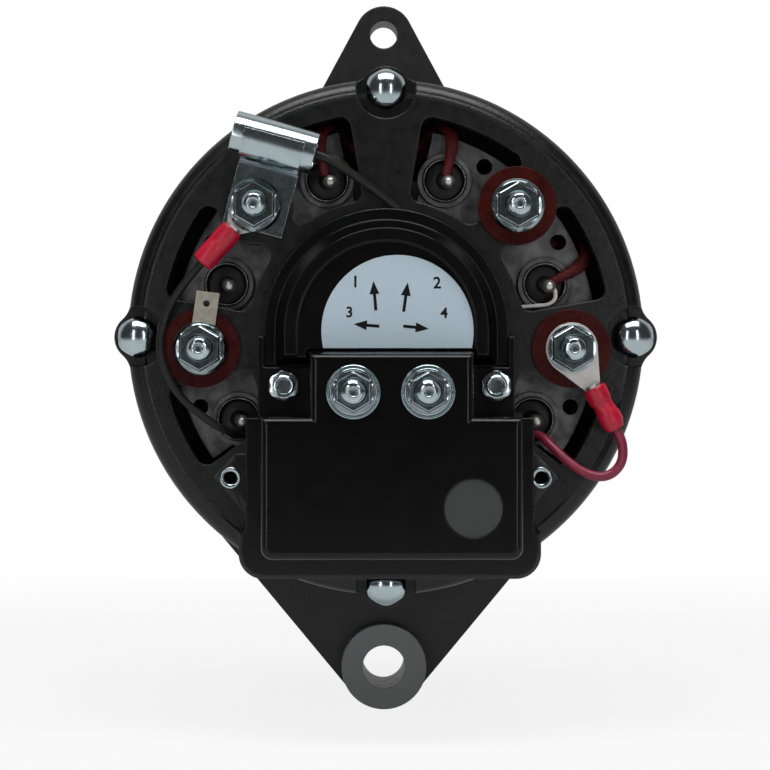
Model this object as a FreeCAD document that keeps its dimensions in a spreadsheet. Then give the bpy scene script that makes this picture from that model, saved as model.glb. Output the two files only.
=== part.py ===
# A belt-driven alternator. The pieces are drawn in the rotor's frame: z runs along the rotor axis from
# the front face of the drive-end housing (z = 0) to the slip-ring end, x is to the right seen from that
# end, y is up. Each piece is then stood up into the frame of the pivot bore: +Z up, +Y to the pulley.
import FreeCAD, Part
import Sketcher
import math
import os
import re

SIZES = {
    # Pivot lug and adjusting ear
    "axis_height": 97.4,
    "lug_radius": 12.7,
    "lug_bore_radius": 6.35,
    "lug_start": 0.6,
    "lug_length": 31.8,
    "web_lean": 39.7,
    "web_start": 8.0,
    "web_thickness": 18.0,
    "ear_height": 92.5,
    "ear_tip_radius": 8.6,
    "ear_hole_radius": 4.15,
    "ear_lean": 28.3,
    "ear_start": 9.0,
    "ear_thickness": 15.9,
    # Housings
    "rim_radius": 71.0,
    "rim_wall": 6.0,
    "cavity_radius": "=rim_radius - rim_wall",
    "core_inset": 7.6,
    "core_radius": "=rim_radius - core_inset",
    "core_seat_land": 2.4,
    "core_seat_radius": "=core_radius - core_seat_land",
    "core_seat_length": 5.0,
    "pilot_depth": 3.0,
    "front_depth": 38.0,
    "rear_depth": 38.0,
    "front_wall": 6.0,
    "rear_wall": 5.0,
    "rim_flange": 10.0,
    "rim_flange_inset": 11.5,
    "rim_flange_radius": "=rim_radius - rim_flange_inset",
    "front_round": 5.0,
    "rear_round": 4.3,
    "bolt_lug_radius": 6.6,
    "bolt_lug_blend": 7.0,
    "spot_radius": 8.3,
    "spot_depth": 5.0,
    "front_hub_radius": 28.0,
    "rear_hub_radius": 24.0,
    "bearing_lip": 2.0,
    "front_shaft_hole": 13.2,
    # Air windows
    "window_inner": 38.0,
    "window_inset": 9.3,
    "window_outer": "=rim_radius - window_inset",
    "window_round": 3.0,
    "top_window_start": 51.5,
    "top_window_end": 80.5,
    "side_window_start": 10.0,
    "side_window_end": 37.0,
    "low_window_start": -36.0,
    "low_window_end": -13.0,
    "front_window_inner": 33.0,
    "front_window_inset": 14.0,
    "front_window_outer": "=rim_radius - front_window_inset",
    "front_window_angle": 31.0,
    "front_window_count": 8,
    # Through-bolts
    "bolt_inset": 2.7,
    "bolt_circle": "=rim_radius - bolt_inset",
    "bolt_radius": 2.4,
    "bolt_head_radius": 5.6,
    "bolt_head_height": 5.5,
    "bolt_dome_radius": 3.2,
    "bolt_bite": 26.0,
    # Clearances
    "press_gap": 0.03,
    "seat_gap": 0.1,
    "screw_gap": 0.1,
    "slide_gap": 0.1,
    "ring_gap": 0.05,
    "air_gap": 0.5,
    # Stator
    "core_bore": 46.5,
    "core_length": 30.0,
    "slot_count": 36,
    "slot_width": 3.6,
    "core_back": 6.4,
    "slot_bottom": "=core_radius - core_back",
    "tooth_lip": 1.4,
    "winding_end_gap": 2.3,
    "winding_overhang": "=rear_depth - pilot_depth - sink_depth - sink_thickness - stud_head_height - winding_end_gap",
    "winding_drop": 1.7,
    "winding_inner": "=core_bore + winding_drop",
    "winding_clearance": 4.2,
    "winding_outer": "=core_seat_radius - winding_clearance",
    # Rotor
    "pole_overhang": 3.0,
    "pole_length": "=core_length + 2 * pole_overhang",
    "pole_disc": 10.0,
    "pole_hub_radius": 30.0,
    "pole_count": 6,
    "claw_root_angle": 36.0,
    "claw_tip_angle": 15.0,
    "claw_root_inner": 35.5,
    "claw_tip_inner": 41.8,
    "claw_tip_gap": 2.0,
    "pole_neck_radius": 15.0,
    "coil_radius": 32.5,
    "bobbin_wall": 1.0,
    "bobbin_rim": 34.0,
    "shaft_pole_radius": 9.0,
    "shaft_collar_radius": 10.6,
    "shaft_front_radius": 8.5,
    "shaft_thread_radius": 7.9,
    "shaft_slip_radius": 8.0,
    "shaft_rear_radius": 7.5,
    "shaft_tail": 1.5,
    "shaft_rear_reach": "=rear_bearing_start + rear_bearing_width + shaft_tail",
    "sleeve_radius": 11.0,
    "sleeve_gap": 0.4,
    "sleeve_start": "=front_depth - pilot_depth + (core_length + pole_length) / 2 + sleeve_gap",
    "slip_ring_radius": 13.0,
    "slip_ring_spare": 6.4,
    "slip_ring_width": "=(rear_bearing_start - sleeve_start - slip_ring_spare) / 2",
    "slip_ring_inset": 1.2,
    "slip_ring_start": "=sleeve_start + slip_ring_inset",
    "slip_ring_gap": 1.8,
    "slip_ring_pitch": "=slip_ring_width + slip_ring_gap",
    # Ball bearings
    "front_bearing_start": 5.0,
    "front_bearing_width": 12.0,
    "front_bearing_radius": 20.0,
    "front_race_radius": 12.2,
    "rear_bearing_recess": 3.0,
    "rear_bearing_width": 11.0,
    "rear_bearing_start": "=front_depth + core_length + rear_depth - 2 * pilot_depth - rear_bearing_recess - rear_bearing_width",
    "rear_bearing_radius": 17.5,
    "rear_race_radius": 10.6,
    "race_gap": 0.4,
    "retainer_thickness": 1.6,
    "retainer_inner": 15.0,
    "retainer_outer": 26.5,
    "retainer_screw_circle": 23.6,
    "retainer_screw_radius": 1.9,
    "retainer_head_radius": 3.4,
    "retainer_head_height": 2.2,
    "retainer_screw_bite": 8.0,
    # Pulley end
    "spacer_radius": 12.0,
    "fan_standoff": 12.0,
    "fan_thickness": 1.6,
    "fan_hub_radius": 46.0,
    "fan_radius": 65.0,
    "fan_blade_count": 12,
    "fan_petal_angle": 21.0,
    "fan_blade_reach": 8.6,
    "fan_blade_lean": 14.0,
    "pulley_radius": 36.0,
    "pulley_width": 22.4,
    "pulley_groove_start": 5.0,
    "pulley_groove_width": 12.7,
    "pulley_groove_depth": 11.5,
    "pulley_groove_floor": 4.6,
    "pulley_web_radius": 17.0,
    "pulley_dish_depth": 9.0,
    "pulley_rim_inner": 21.5,
    "pulley_lip": 2.4,
    "key_width": 4.0,
    "key_height": 3.0,
    "key_length": 14.0,
    "key_end_gap": 4.0,
    "lock_washer_thickness": 2.2,
    "lock_washer_radius": 12.5,
    "shaft_nut_across": 24.0,
    "shaft_nut_height": 8.5,
    "shaft_thread_spare": 3.0,
    # Terminals
    "bridge_radius": "=(2 * rim_radius + 3 * rear_hub_radius) / 5",
    "stud_offset": 8.1,
    "stud_circle": "=bridge_radius + stud_offset",
    "upper_stud_angle": 45.0,
    "side_stud_angle": -3.6,
    "stud_boss_radius": 10.4,
    "stud_radius": 3.175,
    "stud_reach": 12.6,
    "stud_head_across": 10.0,
    "stud_head_height": 3.2,
    "stud_hole_gap": 1.0,
    "insulator_radius": 10.75,
    "insulator_thickness": 1.6,
    "nut_across": 11.1,
    "nut_height": 5.5,
    "nut_flange_radius": 7.4,
    "narrow_flange_radius": 6.5,
    "nut_flange_height": 1.3,
    # Heat sinks and diodes
    "sink_thickness": 4.0,
    "sink_inner": 33.5,
    "sink_clearance": 0.9,
    "sink_outer": "=rim_flange_radius - sink_clearance",
    "sink_top_angle": 77.0,
    "sink_low_angle": -35.0,
    "sink_depth": 12.0,
    "diode_offset": 3.8,
    "diode_circle": "=bridge_radius + diode_offset",
    "diode_top_angle": 69.5,
    "diode_side_angle": 18.5,
    "diode_low_angle": -29.0,
    "diode_radius": 6.2,
    "diode_collar_radius": 7.5,
    "diode_collar_height": 1.6,
    "diode_bottom": 3.2,
    "diode_rise": 2.4,
    "diode_lead_radius": 1.2,
    "diode_lead_reach": 6.0,
    "sink_hole_inset": 3.6,
    "sink_hole_circle": "=sink_outer - sink_hole_inset",
    "sink_hole_radius": 2.2,
    "sink_hole_top_angle": 60.0,
    "sink_hole_side_angle": 29.0,
    "sink_hole_low_angle": -20.5,
    "phase_sleeve_radius": 1.3,
    # Regulator
    "regulator_shift": 1.0,
    "pad_height": 2.0,
    "pad_half_width": 34.0,
    "pad_top": -8.6,
    "pad_shoulder": -49.0,
    "pad_bottom": -61.5,
    "pad_foot_half_width": 22.0,
    "base_thickness": 4.0,
    "base_half_width": 41.2,
    "base_waist_half_width": 39.2,
    "horn_width": 1.7,
    "base_neck_half_width": "=cover_half_width + horn_width",
    "base_step": -22.2,
    "base_foot_top": -51.4,
    "base_top": -8.4,
    "base_horn_top": 0.0,
    "base_bottom": -66.0,
    "base_round": 6.8,
    "case_shift": 1.35,
    "case_half_width": 36.0,
    "case_neck_half_width": 22.9,
    "case_top": -3.6,
    "case_notch": -20.6,
    "case_bottom": -60.8,
    "case_height": 18.6,
    "case_draft": 4.0,
    "case_round": 3.0,
    "case_edge_round": 1.8,
    "plug_x": 23.0,
    "plug_y": -46.0,
    "plug_radius": 7.8,
    "plug_depth": 6.0,
    "plug_sink": 0.4,
    "regulator_stud_spread": 9.9,
    "regulator_stud_y": -15.0,
    "regulator_stud_reach": 9.6,
    "regulator_stud_sink": 6.0,
    "regulator_washer_radius": 7.3,
    "regulator_washer_thickness": 1.1,
    "regulator_nut_across": 10.2,
    "regulator_screw_spread": 28.9,
    "regulator_screw_y": -13.4,
    "regulator_screw_radius": 2.1,
    "regulator_screw_head": 3.9,
    "regulator_screw_socket": 1.95,
    "regulator_screw_rise": 4.2,
    # Brushes
    "brush_opening_half_width": 13.0,
    "brush_opening_top": -19.0,
    "brush_opening_bottom": -51.0,
    "brush_flange_overlap": 3.0,
    "brush_width": 8.0,
    "brush_margin": 0.5,
    "brush_thickness": "=slip_ring_width - 2 * brush_margin",
    "brush_length": 15.0,
    "brush_spring_length": 13.0,
    "brush_spring_inset": 0.3,
    "brush_spring_radius": "=brush_thickness / 2 - brush_spring_inset",
    "brush_spring_wire": 0.5,
    "brush_spring_bore": "=brush_spring_radius - brush_spring_wire",
    "brush_holder_wall": 1.4,
    "brush_holder_top": -17.0,
    "brush_neck_gap": 0.6,
    # Bearing cover and its plate
    "cover_centre": 1.7,
    "cover_foot": -7.6,
    "cover_half_width": 33.3,
    "cover_foot_height": 4.0,
    "cover_ledge": 3.1,
    "cover_slope_half_width": "=cover_half_width - cover_ledge",
    "cover_slope_run": 2.6,
    "cover_rim_half_width": "=cover_slope_half_width - cover_slope_run",
    "cover_height": 12.0,
    "cover_rim_width": 3.4,
    "cover_dish_half_width": "=cover_rim_half_width - cover_rim_width",
    "cover_dish_depth": 1.8,
    "cover_shell": 2.2,
    "plate_x": 3.0,
    "plate_y": 1.4,
    "plate_radius": 20.6,
    "plate_foot": -3.2,
    "plate_thickness": 0.5,
    # Capacitor
    "capacitor_tilt": -15.2,
    "capacitor_x": -30.4,
    "capacitor_y": 52.6,
    "capacitor_radius": 5.9,
    "capacitor_length": 23.1,
    "capacitor_crimp": 1.0,
    "strap_width": 16.7,
    "strap_thickness": 0.9,
    "strap_reach": 24.2,
    "strap_lip": 1.6,
    "capacitor_lead_radius": 1.2,
    "lead_notch_left": 0.2,
    "lead_notch_right": 11.2,
    "lead_notch_height": 3.2,
    # Ring terminals, sleeves, leads
    "ring_radius": 7.1,
    "ring_thickness": 0.8,
    "tongue_width": 4.4,
    "left_sleeve_turn": 228.0,
    "right_sleeve_turn": -61.5,
    "left_sleeve_start": 8.8,
    "right_sleeve_start": 12.2,
    "sleeve_length": 12.8,
    "crimp_radius": 3.2,
    "barrel_radius": 2.0,
    "barrel_rise": 2.6,
    "crimp_neck_radius": 2.3,
    "crimp_neck_length": 3.4,
    "left_lead_radius": 1.1,
    "right_lead_radius": 1.35,
    "blade_width": 6.35,
    "blade_reach": 15.6,
    "blade_turn": 82.0,
    "blade_hole_radius": 0.9,
    # Tubular rivets beside the regulator
    "rivet_x": 42.6,
    "rivet_y": -38.6,
    "rivet_radius": 2.4,
    "rivet_bore": 2.05,
    "rivet_flange_radius": 2.9,
    "rivet_flange_height": 0.7,
}

# Stations along the rotor axis, from front to rear.
CORE_START = "(front_depth - pilot_depth)"
CORE_END = f"({CORE_START} + core_length)"
REAR_START = f"({CORE_END} - pilot_depth)"
REAR_FACE = f"({REAR_START} + rear_depth)"
REAR_WALL_INSIDE = f"({REAR_FACE} - rear_wall)"
POLE_START = f"({CORE_START} + core_length / 2 - pole_length / 2)"
POLE_END = f"({POLE_START} + pole_length)"
FRONT_BEARING_END = "(front_bearing_start + front_bearing_width)"
REAR_BEARING_END = "(rear_bearing_start + rear_bearing_width)"
FAN_BACK = "(-fan_standoff)"
FAN_FRONT = "(-fan_standoff - fan_thickness)"
PULLEY_FRONT = f"({FAN_FRONT} - pulley_width)"
NUT_BACK = f"({PULLEY_FRONT} - lock_washer_thickness)"
SHAFT_TIP = f"({NUT_BACK} - shaft_nut_height - shaft_thread_spare)"
SINK_FACE = f"({REAR_FACE} - sink_depth)"
SINK_BACK = f"({SINK_FACE} - sink_thickness)"
PAD_FACE = f"({REAR_FACE} + pad_height)"
BASE_FACE = f"({PAD_FACE} + base_thickness)"
CASE_FACE = f"({BASE_FACE} + case_height)"
COVER_FACE = f"({REAR_FACE} + cover_height)"
DISH_FLOOR = f"({COVER_FACE} - cover_dish_depth)"
ROTOR_RADIUS = "(core_bore - air_gap)"
LUG_MIDDLE = "(lug_start + lug_length / 2)"

doc = FreeCAD.newDocument("alternator")
sheet = doc.addObject("Spreadsheet::Sheet", "Sizes")
for row, (alias, number) in enumerate(SIZES.items(), start=1):
    sheet.set(f"A{row}", alias)
    sheet.set(f"B{row}", str(number))
    sheet.setAlias(f"B{row}", alias)
doc.recompute()

PIECES = []
UP = FreeCAD.Vector(0, 0, 1)


def named(expression):
    """The expression with each size's name pointing into the sheet."""
    def swap(match):
        word = match.group(0)
        return f"Sizes.{word}" if word in SIZES else word
    return re.sub(r"[a-z][a-z_]*", swap, expression)


def value(expression):
    """The number that an expression of sizes stands for."""
    return float(sheet.evalExpression(named(expression)))


def bind(item, path, expression):
    item.setExpression(path, named(expression))


def stand_up(item, x="0", y="0", z="0", turn="0"):
    """Place a piece drawn at (x, y, z) of the rotor's frame, turned about its own z, in the part's frame."""
    rotation = FreeCAD.Rotation(0, -value(turn), 90)
    item.Placement = FreeCAD.Placement(FreeCAD.Vector(), rotation)
    bind(item, "Placement.Base.x", x)
    bind(item, "Placement.Base.y", f"{LUG_MIDDLE} - ({z})")
    bind(item, "Placement.Base.z", f"axis_height + ({y})")


def new_body(label, x="0", y="0", z="0", turn="0"):
    body = doc.addObject("PartDesign::Body", label)
    stand_up(body, x, y, z, turn)
    PIECES.append(body)
    return body


def origin_feature(body, role):
    return next(item for item in body.Origin.OriginFeatures if item.Role == role)


def sketch(body, role="XY_Plane", offset="0"):
    """A sketch on one of the body's origin planes, moved along the plane's normal."""
    item = body.newObject("Sketcher::SketchObject", f"{body.Name}_sketch")
    item.AttachmentSupport = (origin_feature(body, role), [""])
    item.MapMode = "FlatFace"
    bind(item, "AttachmentOffset.Base.z", offset)
    return item


def constrain(item, rules):
    """Add constraints; each rule is the arguments before the value and, for a size, its expression."""
    for arguments, expression in rules:
        if expression is None:
            item.addConstraint(Sketcher.Constraint(*arguments))
        else:
            index = item.addConstraint(Sketcher.Constraint(*arguments, value(expression)))
            bind(item, f"Constraints[{index}]", expression)


def circle(item, x, y, radius):
    centre = FreeCAD.Vector(value(x), value(y), 0)
    index = item.addGeometry(Part.Circle(centre, UP, value(radius)))
    constrain(item, [
        (("DistanceX", -1, 1, index, 3), x),
        (("DistanceY", -1, 1, index, 3), y),
        (("Radius", index), radius),
    ])


def ring(item, outer, inner, x="0", y="0"):
    circle(item, x, y, outer)
    circle(item, x, y, inner)


def outline(item, corners):
    """A closed outline. A corner is (x, y), reached by a straight line, or (x, y, centre x, centre y,
    sense), reached by an arc about that centre, sense 1 counter-clockwise. The first is reached straight.
    """
    points = [FreeCAD.Vector(value(corner[0]), value(corner[1]), 0) for corner in corners]
    ends = []
    rules = []
    for position, corner in enumerate(corners):
        start, end = points[position - 1], points[position]
        if len(corner) == 2:
            index = item.addGeometry(Part.LineSegment(start, end))
            ends.append((index, 1, 2))
            rules.append((("DistanceX", -1, 1, index, 2), corner[0]))
            rules.append((("DistanceY", -1, 1, index, 2), corner[1]))
            continue
        centre = FreeCAD.Vector(value(corner[2]), value(corner[3]), 0)
        first, last = (start, end) if corner[4] > 0 else (end, start)
        angles = [math.atan2(point.y - centre.y, point.x - centre.x) for point in (first, last)]
        round_edge = Part.Circle(centre, UP, (start - centre).Length)
        index = item.addGeometry(Part.ArcOfCircle(round_edge, angles[0], angles[1]))
        ends.append((index, 1, 2) if corner[4] > 0 else (index, 2, 1))
        rules.append((("DistanceX", -1, 1, index, 3), corner[2]))
        rules.append((("DistanceY", -1, 1, index, 3), corner[3]))
        reach = end - centre
        if abs(reach.x) > abs(reach.y):
            rules.append((("DistanceY", -1, 1, index, ends[-1][2]), corner[1]))
        else:
            rules.append((("DistanceX", -1, 1, index, ends[-1][2]), corner[0]))
    for position, (index, start_point, _) in enumerate(ends):
        before, _, end_point = ends[position - 1]
        item.addConstraint(Sketcher.Constraint("Coincident", before, end_point, index, start_point))
    constrain(item, rules)


def rectangle(item, left, right, bottom, top):
    outline(item, [(left, bottom), (right, bottom), (right, top), (left, top)])


def hexagon(item, x, y, across):
    """A hexagon with two upright flats."""
    corners = []
    for turn in range(30, 390, 60):
        corners.append((f"{x} + {across} / sqrt(3) * cos({turn})", f"{y} + {across} / sqrt(3) * sin({turn})"))
    outline(item, corners)


def sector(item, inner, outer, start, end):
    """Part of a ring between two angles."""
    outline(item, [
        (f"{outer} * cos({start})", f"{outer} * sin({start})"),
        (f"{outer} * cos({end})", f"{outer} * sin({end})", "0", "0", 1),
        (f"{inner} * cos({end})", f"{inner} * sin({end})"),
        (f"{inner} * cos({start})", f"{inner} * sin({start})", "0", "0", -1),
    ])


def pad(body, profile, length, draft=None, name="pad"):
    item = body.newObject("PartDesign::Pad", f"{body.Name}_{name}")
    item.Profile = profile
    bind(item, "Length", length)
    if draft is not None:
        bind(item, "TaperAngle", f"-{draft}")
    doc.recompute()
    return item


def pocket(body, profile, depth):
    """Cut down from the sketch, against its normal, and make sure that something was cut."""
    volume = body.Shape.Volume
    item = body.newObject("PartDesign::Pocket", f"{body.Name}_pocket")
    item.Profile = profile
    bind(item, "Length", depth)
    doc.recompute()
    if item.Shape.Volume >= volume:
        raise ValueError(f"{item.Label} cuts nothing")
    return item


def turned(body, corners, kind="Revolution", axis="V_Axis"):
    """Turn a profile, drawn as (radius, station) corners, about the body's z axis."""
    volume = body.Shape.Volume if kind == "Groove" else 0.0
    profile = sketch(body, "XZ_Plane")
    outline(profile, corners)
    item = body.newObject(f"PartDesign::{kind}", f"{body.Name}_{kind.lower()}")
    item.Profile = profile
    item.ReferenceAxis = (profile, [axis])
    item.Angle = 360
    doc.recompute()
    if kind == "Groove" and item.Shape.Volume >= volume:
        raise ValueError(f"{item.Label} cuts nothing")
    return item


def polar(body, features, count):
    item = body.newObject("PartDesign::PolarPattern", f"{body.Name}_pattern")
    item.Originals = features
    item.Axis = (origin_feature(body, "Z_Axis"), [""])
    item.Angle = 360
    bind(item, "Occurrences", count)
    body.Tip = item
    doc.recompute()
    return item


def edge_finish(body, kind, amount, test):
    """Round (Fillet) or bevel (Chamfer) the edges that pass the test."""
    base = body.Tip
    chosen = [f"Edge{number}" for number, edge in enumerate(base.Shape.Edges, start=1) if test(edge)]
    if not chosen:
        raise ValueError(f"{body.Label} has no such edge")
    item = body.newObject(f"PartDesign::{kind}", f"{body.Name}_{kind.lower()}")
    item.Base = (base, chosen)
    bind(item, "Radius" if kind == "Fillet" else "Size", amount)
    doc.recompute()
    return item


def is_upright(edge):
    """Whether an edge is straight and parallel to z."""
    return edge.BoundBox.XLength < 0.001 and edge.BoundBox.YLength < 0.001


def lies_at(edge, station):
    """Whether an edge lies in the plane of one station."""
    box = edge.BoundBox
    return abs(box.ZMin - station) < 0.001 and abs(box.ZMax - station) < 0.001


def radius_of(edge):
    """Distance from the rotor axis to the middle of an edge."""
    middle = edge.BoundBox.Center
    return math.hypot(middle.x, middle.y)


def solid_piece(label, shape, x="0", y="0", z="0", turn="0"):
    """A piece whose shape is worked out here, placed as the bodies are."""
    item = doc.addObject("Part::Feature", label)
    item.Shape = shape
    stand_up(item, x, y, z, turn)
    PIECES.append(item)
    return item


# Places of the four terminal studs: right side first, upper before side.
def stud_place(side, angle):
    return f"{side} * stud_circle * cos({angle})", f"stud_circle * sin({angle})"


UPPER_RIGHT = stud_place(1, "upper_stud_angle")
UPPER_LEFT = stud_place(-1, "upper_stud_angle")
SIDE_RIGHT = stud_place(1, "side_stud_angle")
SIDE_LEFT = stud_place(-1, "side_stud_angle")
STUDS = [UPPER_RIGHT, UPPER_LEFT, SIDE_RIGHT, SIDE_LEFT]
INSULATED = [UPPER_RIGHT, SIDE_RIGHT, SIDE_LEFT]
BOLTS = [("bolt_circle", "0"), ("0", "bolt_circle"), ("-bolt_circle", "0"), ("0", "-bolt_circle")]
REGULATOR_STUDS = [(f"regulator_shift {sign} regulator_stud_spread", "regulator_stud_y") for sign in "-+"]
REGULATOR_SCREWS = [(f"regulator_shift {sign} regulator_screw_spread", "regulator_screw_y") for sign in "-+"]
RIVETS = [("-rivet_x", "rivet_y"), ("rivet_x", "rivet_y")]


def round_corners(body, inner, outer):
    """Round the four corners of each window, told by their distance from the rotor axis."""
    reach = [value(inner), value(outer)]
    edge_finish(body, "Fillet", "window_round",
                lambda edge: is_upright(edge) and min(abs(radius_of(edge) - radius) for radius in reach) < 0.05)


def circles(item, places, radius):
    for x, y in places:
        circle(item, x, y, radius)


def bolt_lugs(body, start, depth):
    """Four bolt lugs on the drum, each run into the rim by concave blends that touch both circles."""
    profile = sketch(body, offset=start)
    rim, lug = "(rim_radius + bolt_lug_blend)", "(bolt_lug_radius + bolt_lug_blend)"
    turn = f"acos(({rim} ^ 2 + bolt_circle ^ 2 - {lug} ^ 2) / (2 * bolt_circle * {rim}))"
    blend_x, blend_y = f"{rim} * cos({turn})", f"{rim} * sin({turn})"
    share = f"bolt_lug_radius / {lug}"
    touch_x, touch_y = f"(bolt_circle + ({blend_x} - bolt_circle) * {share})", f"{blend_y} * {share}"
    outline(profile, [
        (f"rim_radius * cos({turn})", f"-rim_radius * sin({turn})"),
        (touch_x, f"-{touch_y}", blend_x, f"-{blend_y}", -1),
        (touch_x, touch_y, "bolt_circle", "0", 1),
        (f"rim_radius * cos({turn})", f"rim_radius * sin({turn})", blend_x, blend_y, -1),
    ])
    polar(body, [pad(body, profile, depth)], "4")


def rear_housing():
    """Slip-ring end housing: cast drum, windows between spokes, terminal bosses and regulator pad."""
    body = new_body("rear_housing")
    drum = sketch(body, offset=REAR_START)
    circle(drum, "0", "0", "rim_radius")
    pad(body, drum, "rear_depth")
    face = value(REAR_FACE)
    edge_finish(body, "Fillet", "rear_round", lambda edge: lies_at(edge, face))
    bolt_lugs(body, REAR_START, "rear_depth - spot_depth")
    windows = sketch(body, offset=REAR_FACE)
    for name in ("top", "side", "low"):
        start, end = f"{name}_window_start", f"{name}_window_end"
        sector(windows, "window_inner", "window_outer", start, end)
        sector(windows, "window_inner", "window_outer", f"(180 - {end})", f"(180 - {start})")
    pocket(body, windows, "rim_flange + 1")
    round_corners(body, "window_inner", "window_outer")
    seat_end = f"{CORE_END} + core_seat_length"
    turned(body, [
        ("0", REAR_START),
        ("core_radius + press_gap", REAR_START),
        ("core_radius + press_gap", CORE_END),
        ("core_seat_radius", CORE_END),
        ("core_seat_radius", seat_end),
        ("cavity_radius", seat_end),
        ("cavity_radius", f"{REAR_FACE} - rim_flange"),
        ("rim_flange_radius", f"{REAR_FACE} - rim_flange"),
        ("rim_flange_radius", REAR_WALL_INSIDE),
        ("rear_hub_radius", REAR_WALL_INSIDE),
        ("rear_hub_radius", "rear_bearing_start - bearing_lip"),
        ("rear_bearing_radius - bearing_lip", "rear_bearing_start - bearing_lip"),
        ("rear_bearing_radius - bearing_lip", "rear_bearing_start"),
        ("rear_bearing_radius + press_gap", "rear_bearing_start"),
        ("rear_bearing_radius + press_gap", f"{REAR_FACE} + 1"),
        ("0", f"{REAR_FACE} + 1"),
    ], "Groove")
    bosses = sketch(body, offset=SINK_FACE)
    circles(bosses, STUDS, "stud_boss_radius")
    pad(body, bosses, "sink_depth")
    regulator_pad = sketch(body, offset=REAR_FACE)
    outline(regulator_pad, [
        ("regulator_shift - pad_half_width", "pad_top"),
        ("regulator_shift - pad_half_width", "pad_shoulder"),
        ("-pad_foot_half_width", "pad_bottom"),
        ("pad_foot_half_width", "pad_bottom"),
        ("regulator_shift + pad_half_width", "pad_shoulder"),
        ("regulator_shift + pad_half_width", "pad_top"),
    ])
    pad(body, regulator_pad, "pad_height")
    spots = sketch(body, offset=PAD_FACE)
    circles(spots, BOLTS, "spot_radius")
    pocket(body, spots, "pad_height + spot_depth")
    recess = sketch(body, offset=PAD_FACE)
    rectangle(recess, "-brush_opening_half_width - brush_flange_overlap - slide_gap",
              "brush_opening_half_width + brush_flange_overlap + slide_gap",
              "brush_opening_bottom - brush_flange_overlap - slide_gap",
              "brush_opening_top + brush_flange_overlap + slide_gap")
    pocket(body, recess, "pad_height")
    opening = sketch(body, offset=REAR_FACE)
    rectangle(opening, "-brush_opening_half_width", "brush_opening_half_width",
              "brush_opening_bottom", "brush_opening_top")
    pocket(body, opening, "rear_wall + 1")
    holes = sketch(body, offset=PAD_FACE)
    circles(holes, BOLTS, "bolt_radius + screw_gap")
    circles(holes, STUDS, "stud_radius + stud_hole_gap")
    circles(holes, REGULATOR_SCREWS, "regulator_screw_radius + screw_gap")
    circles(holes, RIVETS, "rivet_radius + screw_gap")
    pocket(body, holes, "pad_height + rear_depth")
    return body


def front_housing():
    """Drive-end housing: cast drum, adjusting ear, pivot lug on its V web, bearing hub, air windows."""
    body = new_body("front_housing")
    drum = sketch(body)
    circle(drum, "0", "0", "rim_radius")
    pad(body, drum, "front_depth")
    edge_finish(body, "Fillet", "front_round", lambda edge: lies_at(edge, 0))
    bolt_lugs(body, "front_round + 1", "front_depth - front_round - 1")
    ear = sketch(body, offset="ear_start")
    side = "ear_tip_radius * cos(ear_lean)"
    tangent = "(ear_height + ear_tip_radius * sin(ear_lean))"
    foot = f"({side} + ({tangent} - core_seat_radius) * tan(ear_lean))"
    outline(ear, [
        (f"-{foot}", "core_seat_radius"),
        (foot, "core_seat_radius"),
        (side, tangent),
        (f"-{side}", tangent, "0", "ear_height", 1),
    ])
    pad(body, ear, "ear_thickness")
    web = sketch(body, offset="web_start")
    reach = "(lug_radius + axis_height * sin(web_lean))"
    tip_x, tip_y = "lug_radius * cos(web_lean)", "-axis_height - lug_radius * sin(web_lean)"
    outline(web, [
        ("0", "-core_seat_radius / 2"),
        ("-(rim_radius - 2) * cos(web_lean)", "-(rim_radius - 2) * sin(web_lean)"),
        (f"-{reach} * cos(web_lean)", f"-{reach} * sin(web_lean)"),
        (f"-{tip_x}", tip_y),
        (tip_x, tip_y),
        (f"{reach} * cos(web_lean)", f"-{reach} * sin(web_lean)"),
        ("(rim_radius - 2) * cos(web_lean)", "-(rim_radius - 2) * sin(web_lean)"),
    ])
    pad(body, web, "web_thickness")
    lug = sketch(body, offset="lug_start")
    circle(lug, "0", "-axis_height", "lug_radius")
    pad(body, lug, "lug_length")
    windows = sketch(body, offset="front_wall")
    half = "front_window_angle / 2"
    pitch = "360 / front_window_count"
    sector(windows, "front_window_inner", "front_window_outer",
           f"({pitch} / 2 - {half})", f"({pitch} / 2 + {half})")
    polar(body, [pocket(body, windows, "front_wall + 1")], "front_window_count")
    round_corners(body, "front_window_inner", "front_window_outer")
    turned(body, [
        ("0", "front_depth"),
        ("core_radius + press_gap", "front_depth"),
        ("core_radius + press_gap", CORE_START),
        ("core_seat_radius", CORE_START),
        ("core_seat_radius", f"{CORE_START} - core_seat_length"),
        ("cavity_radius", f"{CORE_START} - core_seat_length"),
        ("cavity_radius", "front_wall"),
        ("front_hub_radius", "front_wall"),
        ("front_hub_radius", FRONT_BEARING_END),
        ("front_bearing_radius + press_gap", FRONT_BEARING_END),
        ("front_bearing_radius + press_gap", "front_bearing_start"),
        ("front_shaft_hole", "front_bearing_start"),
        ("front_shaft_hole", "-1"),
        ("0", "-1"),
    ], "Groove")
    holes = sketch(body, offset="front_depth")
    circle(holes, "0", "ear_height", "ear_hole_radius")
    circle(holes, "0", "-axis_height", "lug_bore_radius")
    pocket(body, holes, "front_depth")
    threads = sketch(body, offset="front_depth")
    circles(threads, BOLTS, "bolt_radius + screw_gap")
    pocket(body, threads, "bolt_bite + 1")
    retainer_threads = sketch(body, offset=FRONT_BEARING_END)
    circles(retainer_threads, RETAINER_SCREWS, "retainer_screw_radius + screw_gap")
    pocket(body, retainer_threads, "retainer_screw_bite + 1")
    return body


RETAINER_SCREWS = [
    (f"retainer_screw_circle * cos({turn})", f"retainer_screw_circle * sin({turn})")
    for turn in ("90", "(90 + 360 / 3)", "(90 - 360 / 3)")
]


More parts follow.
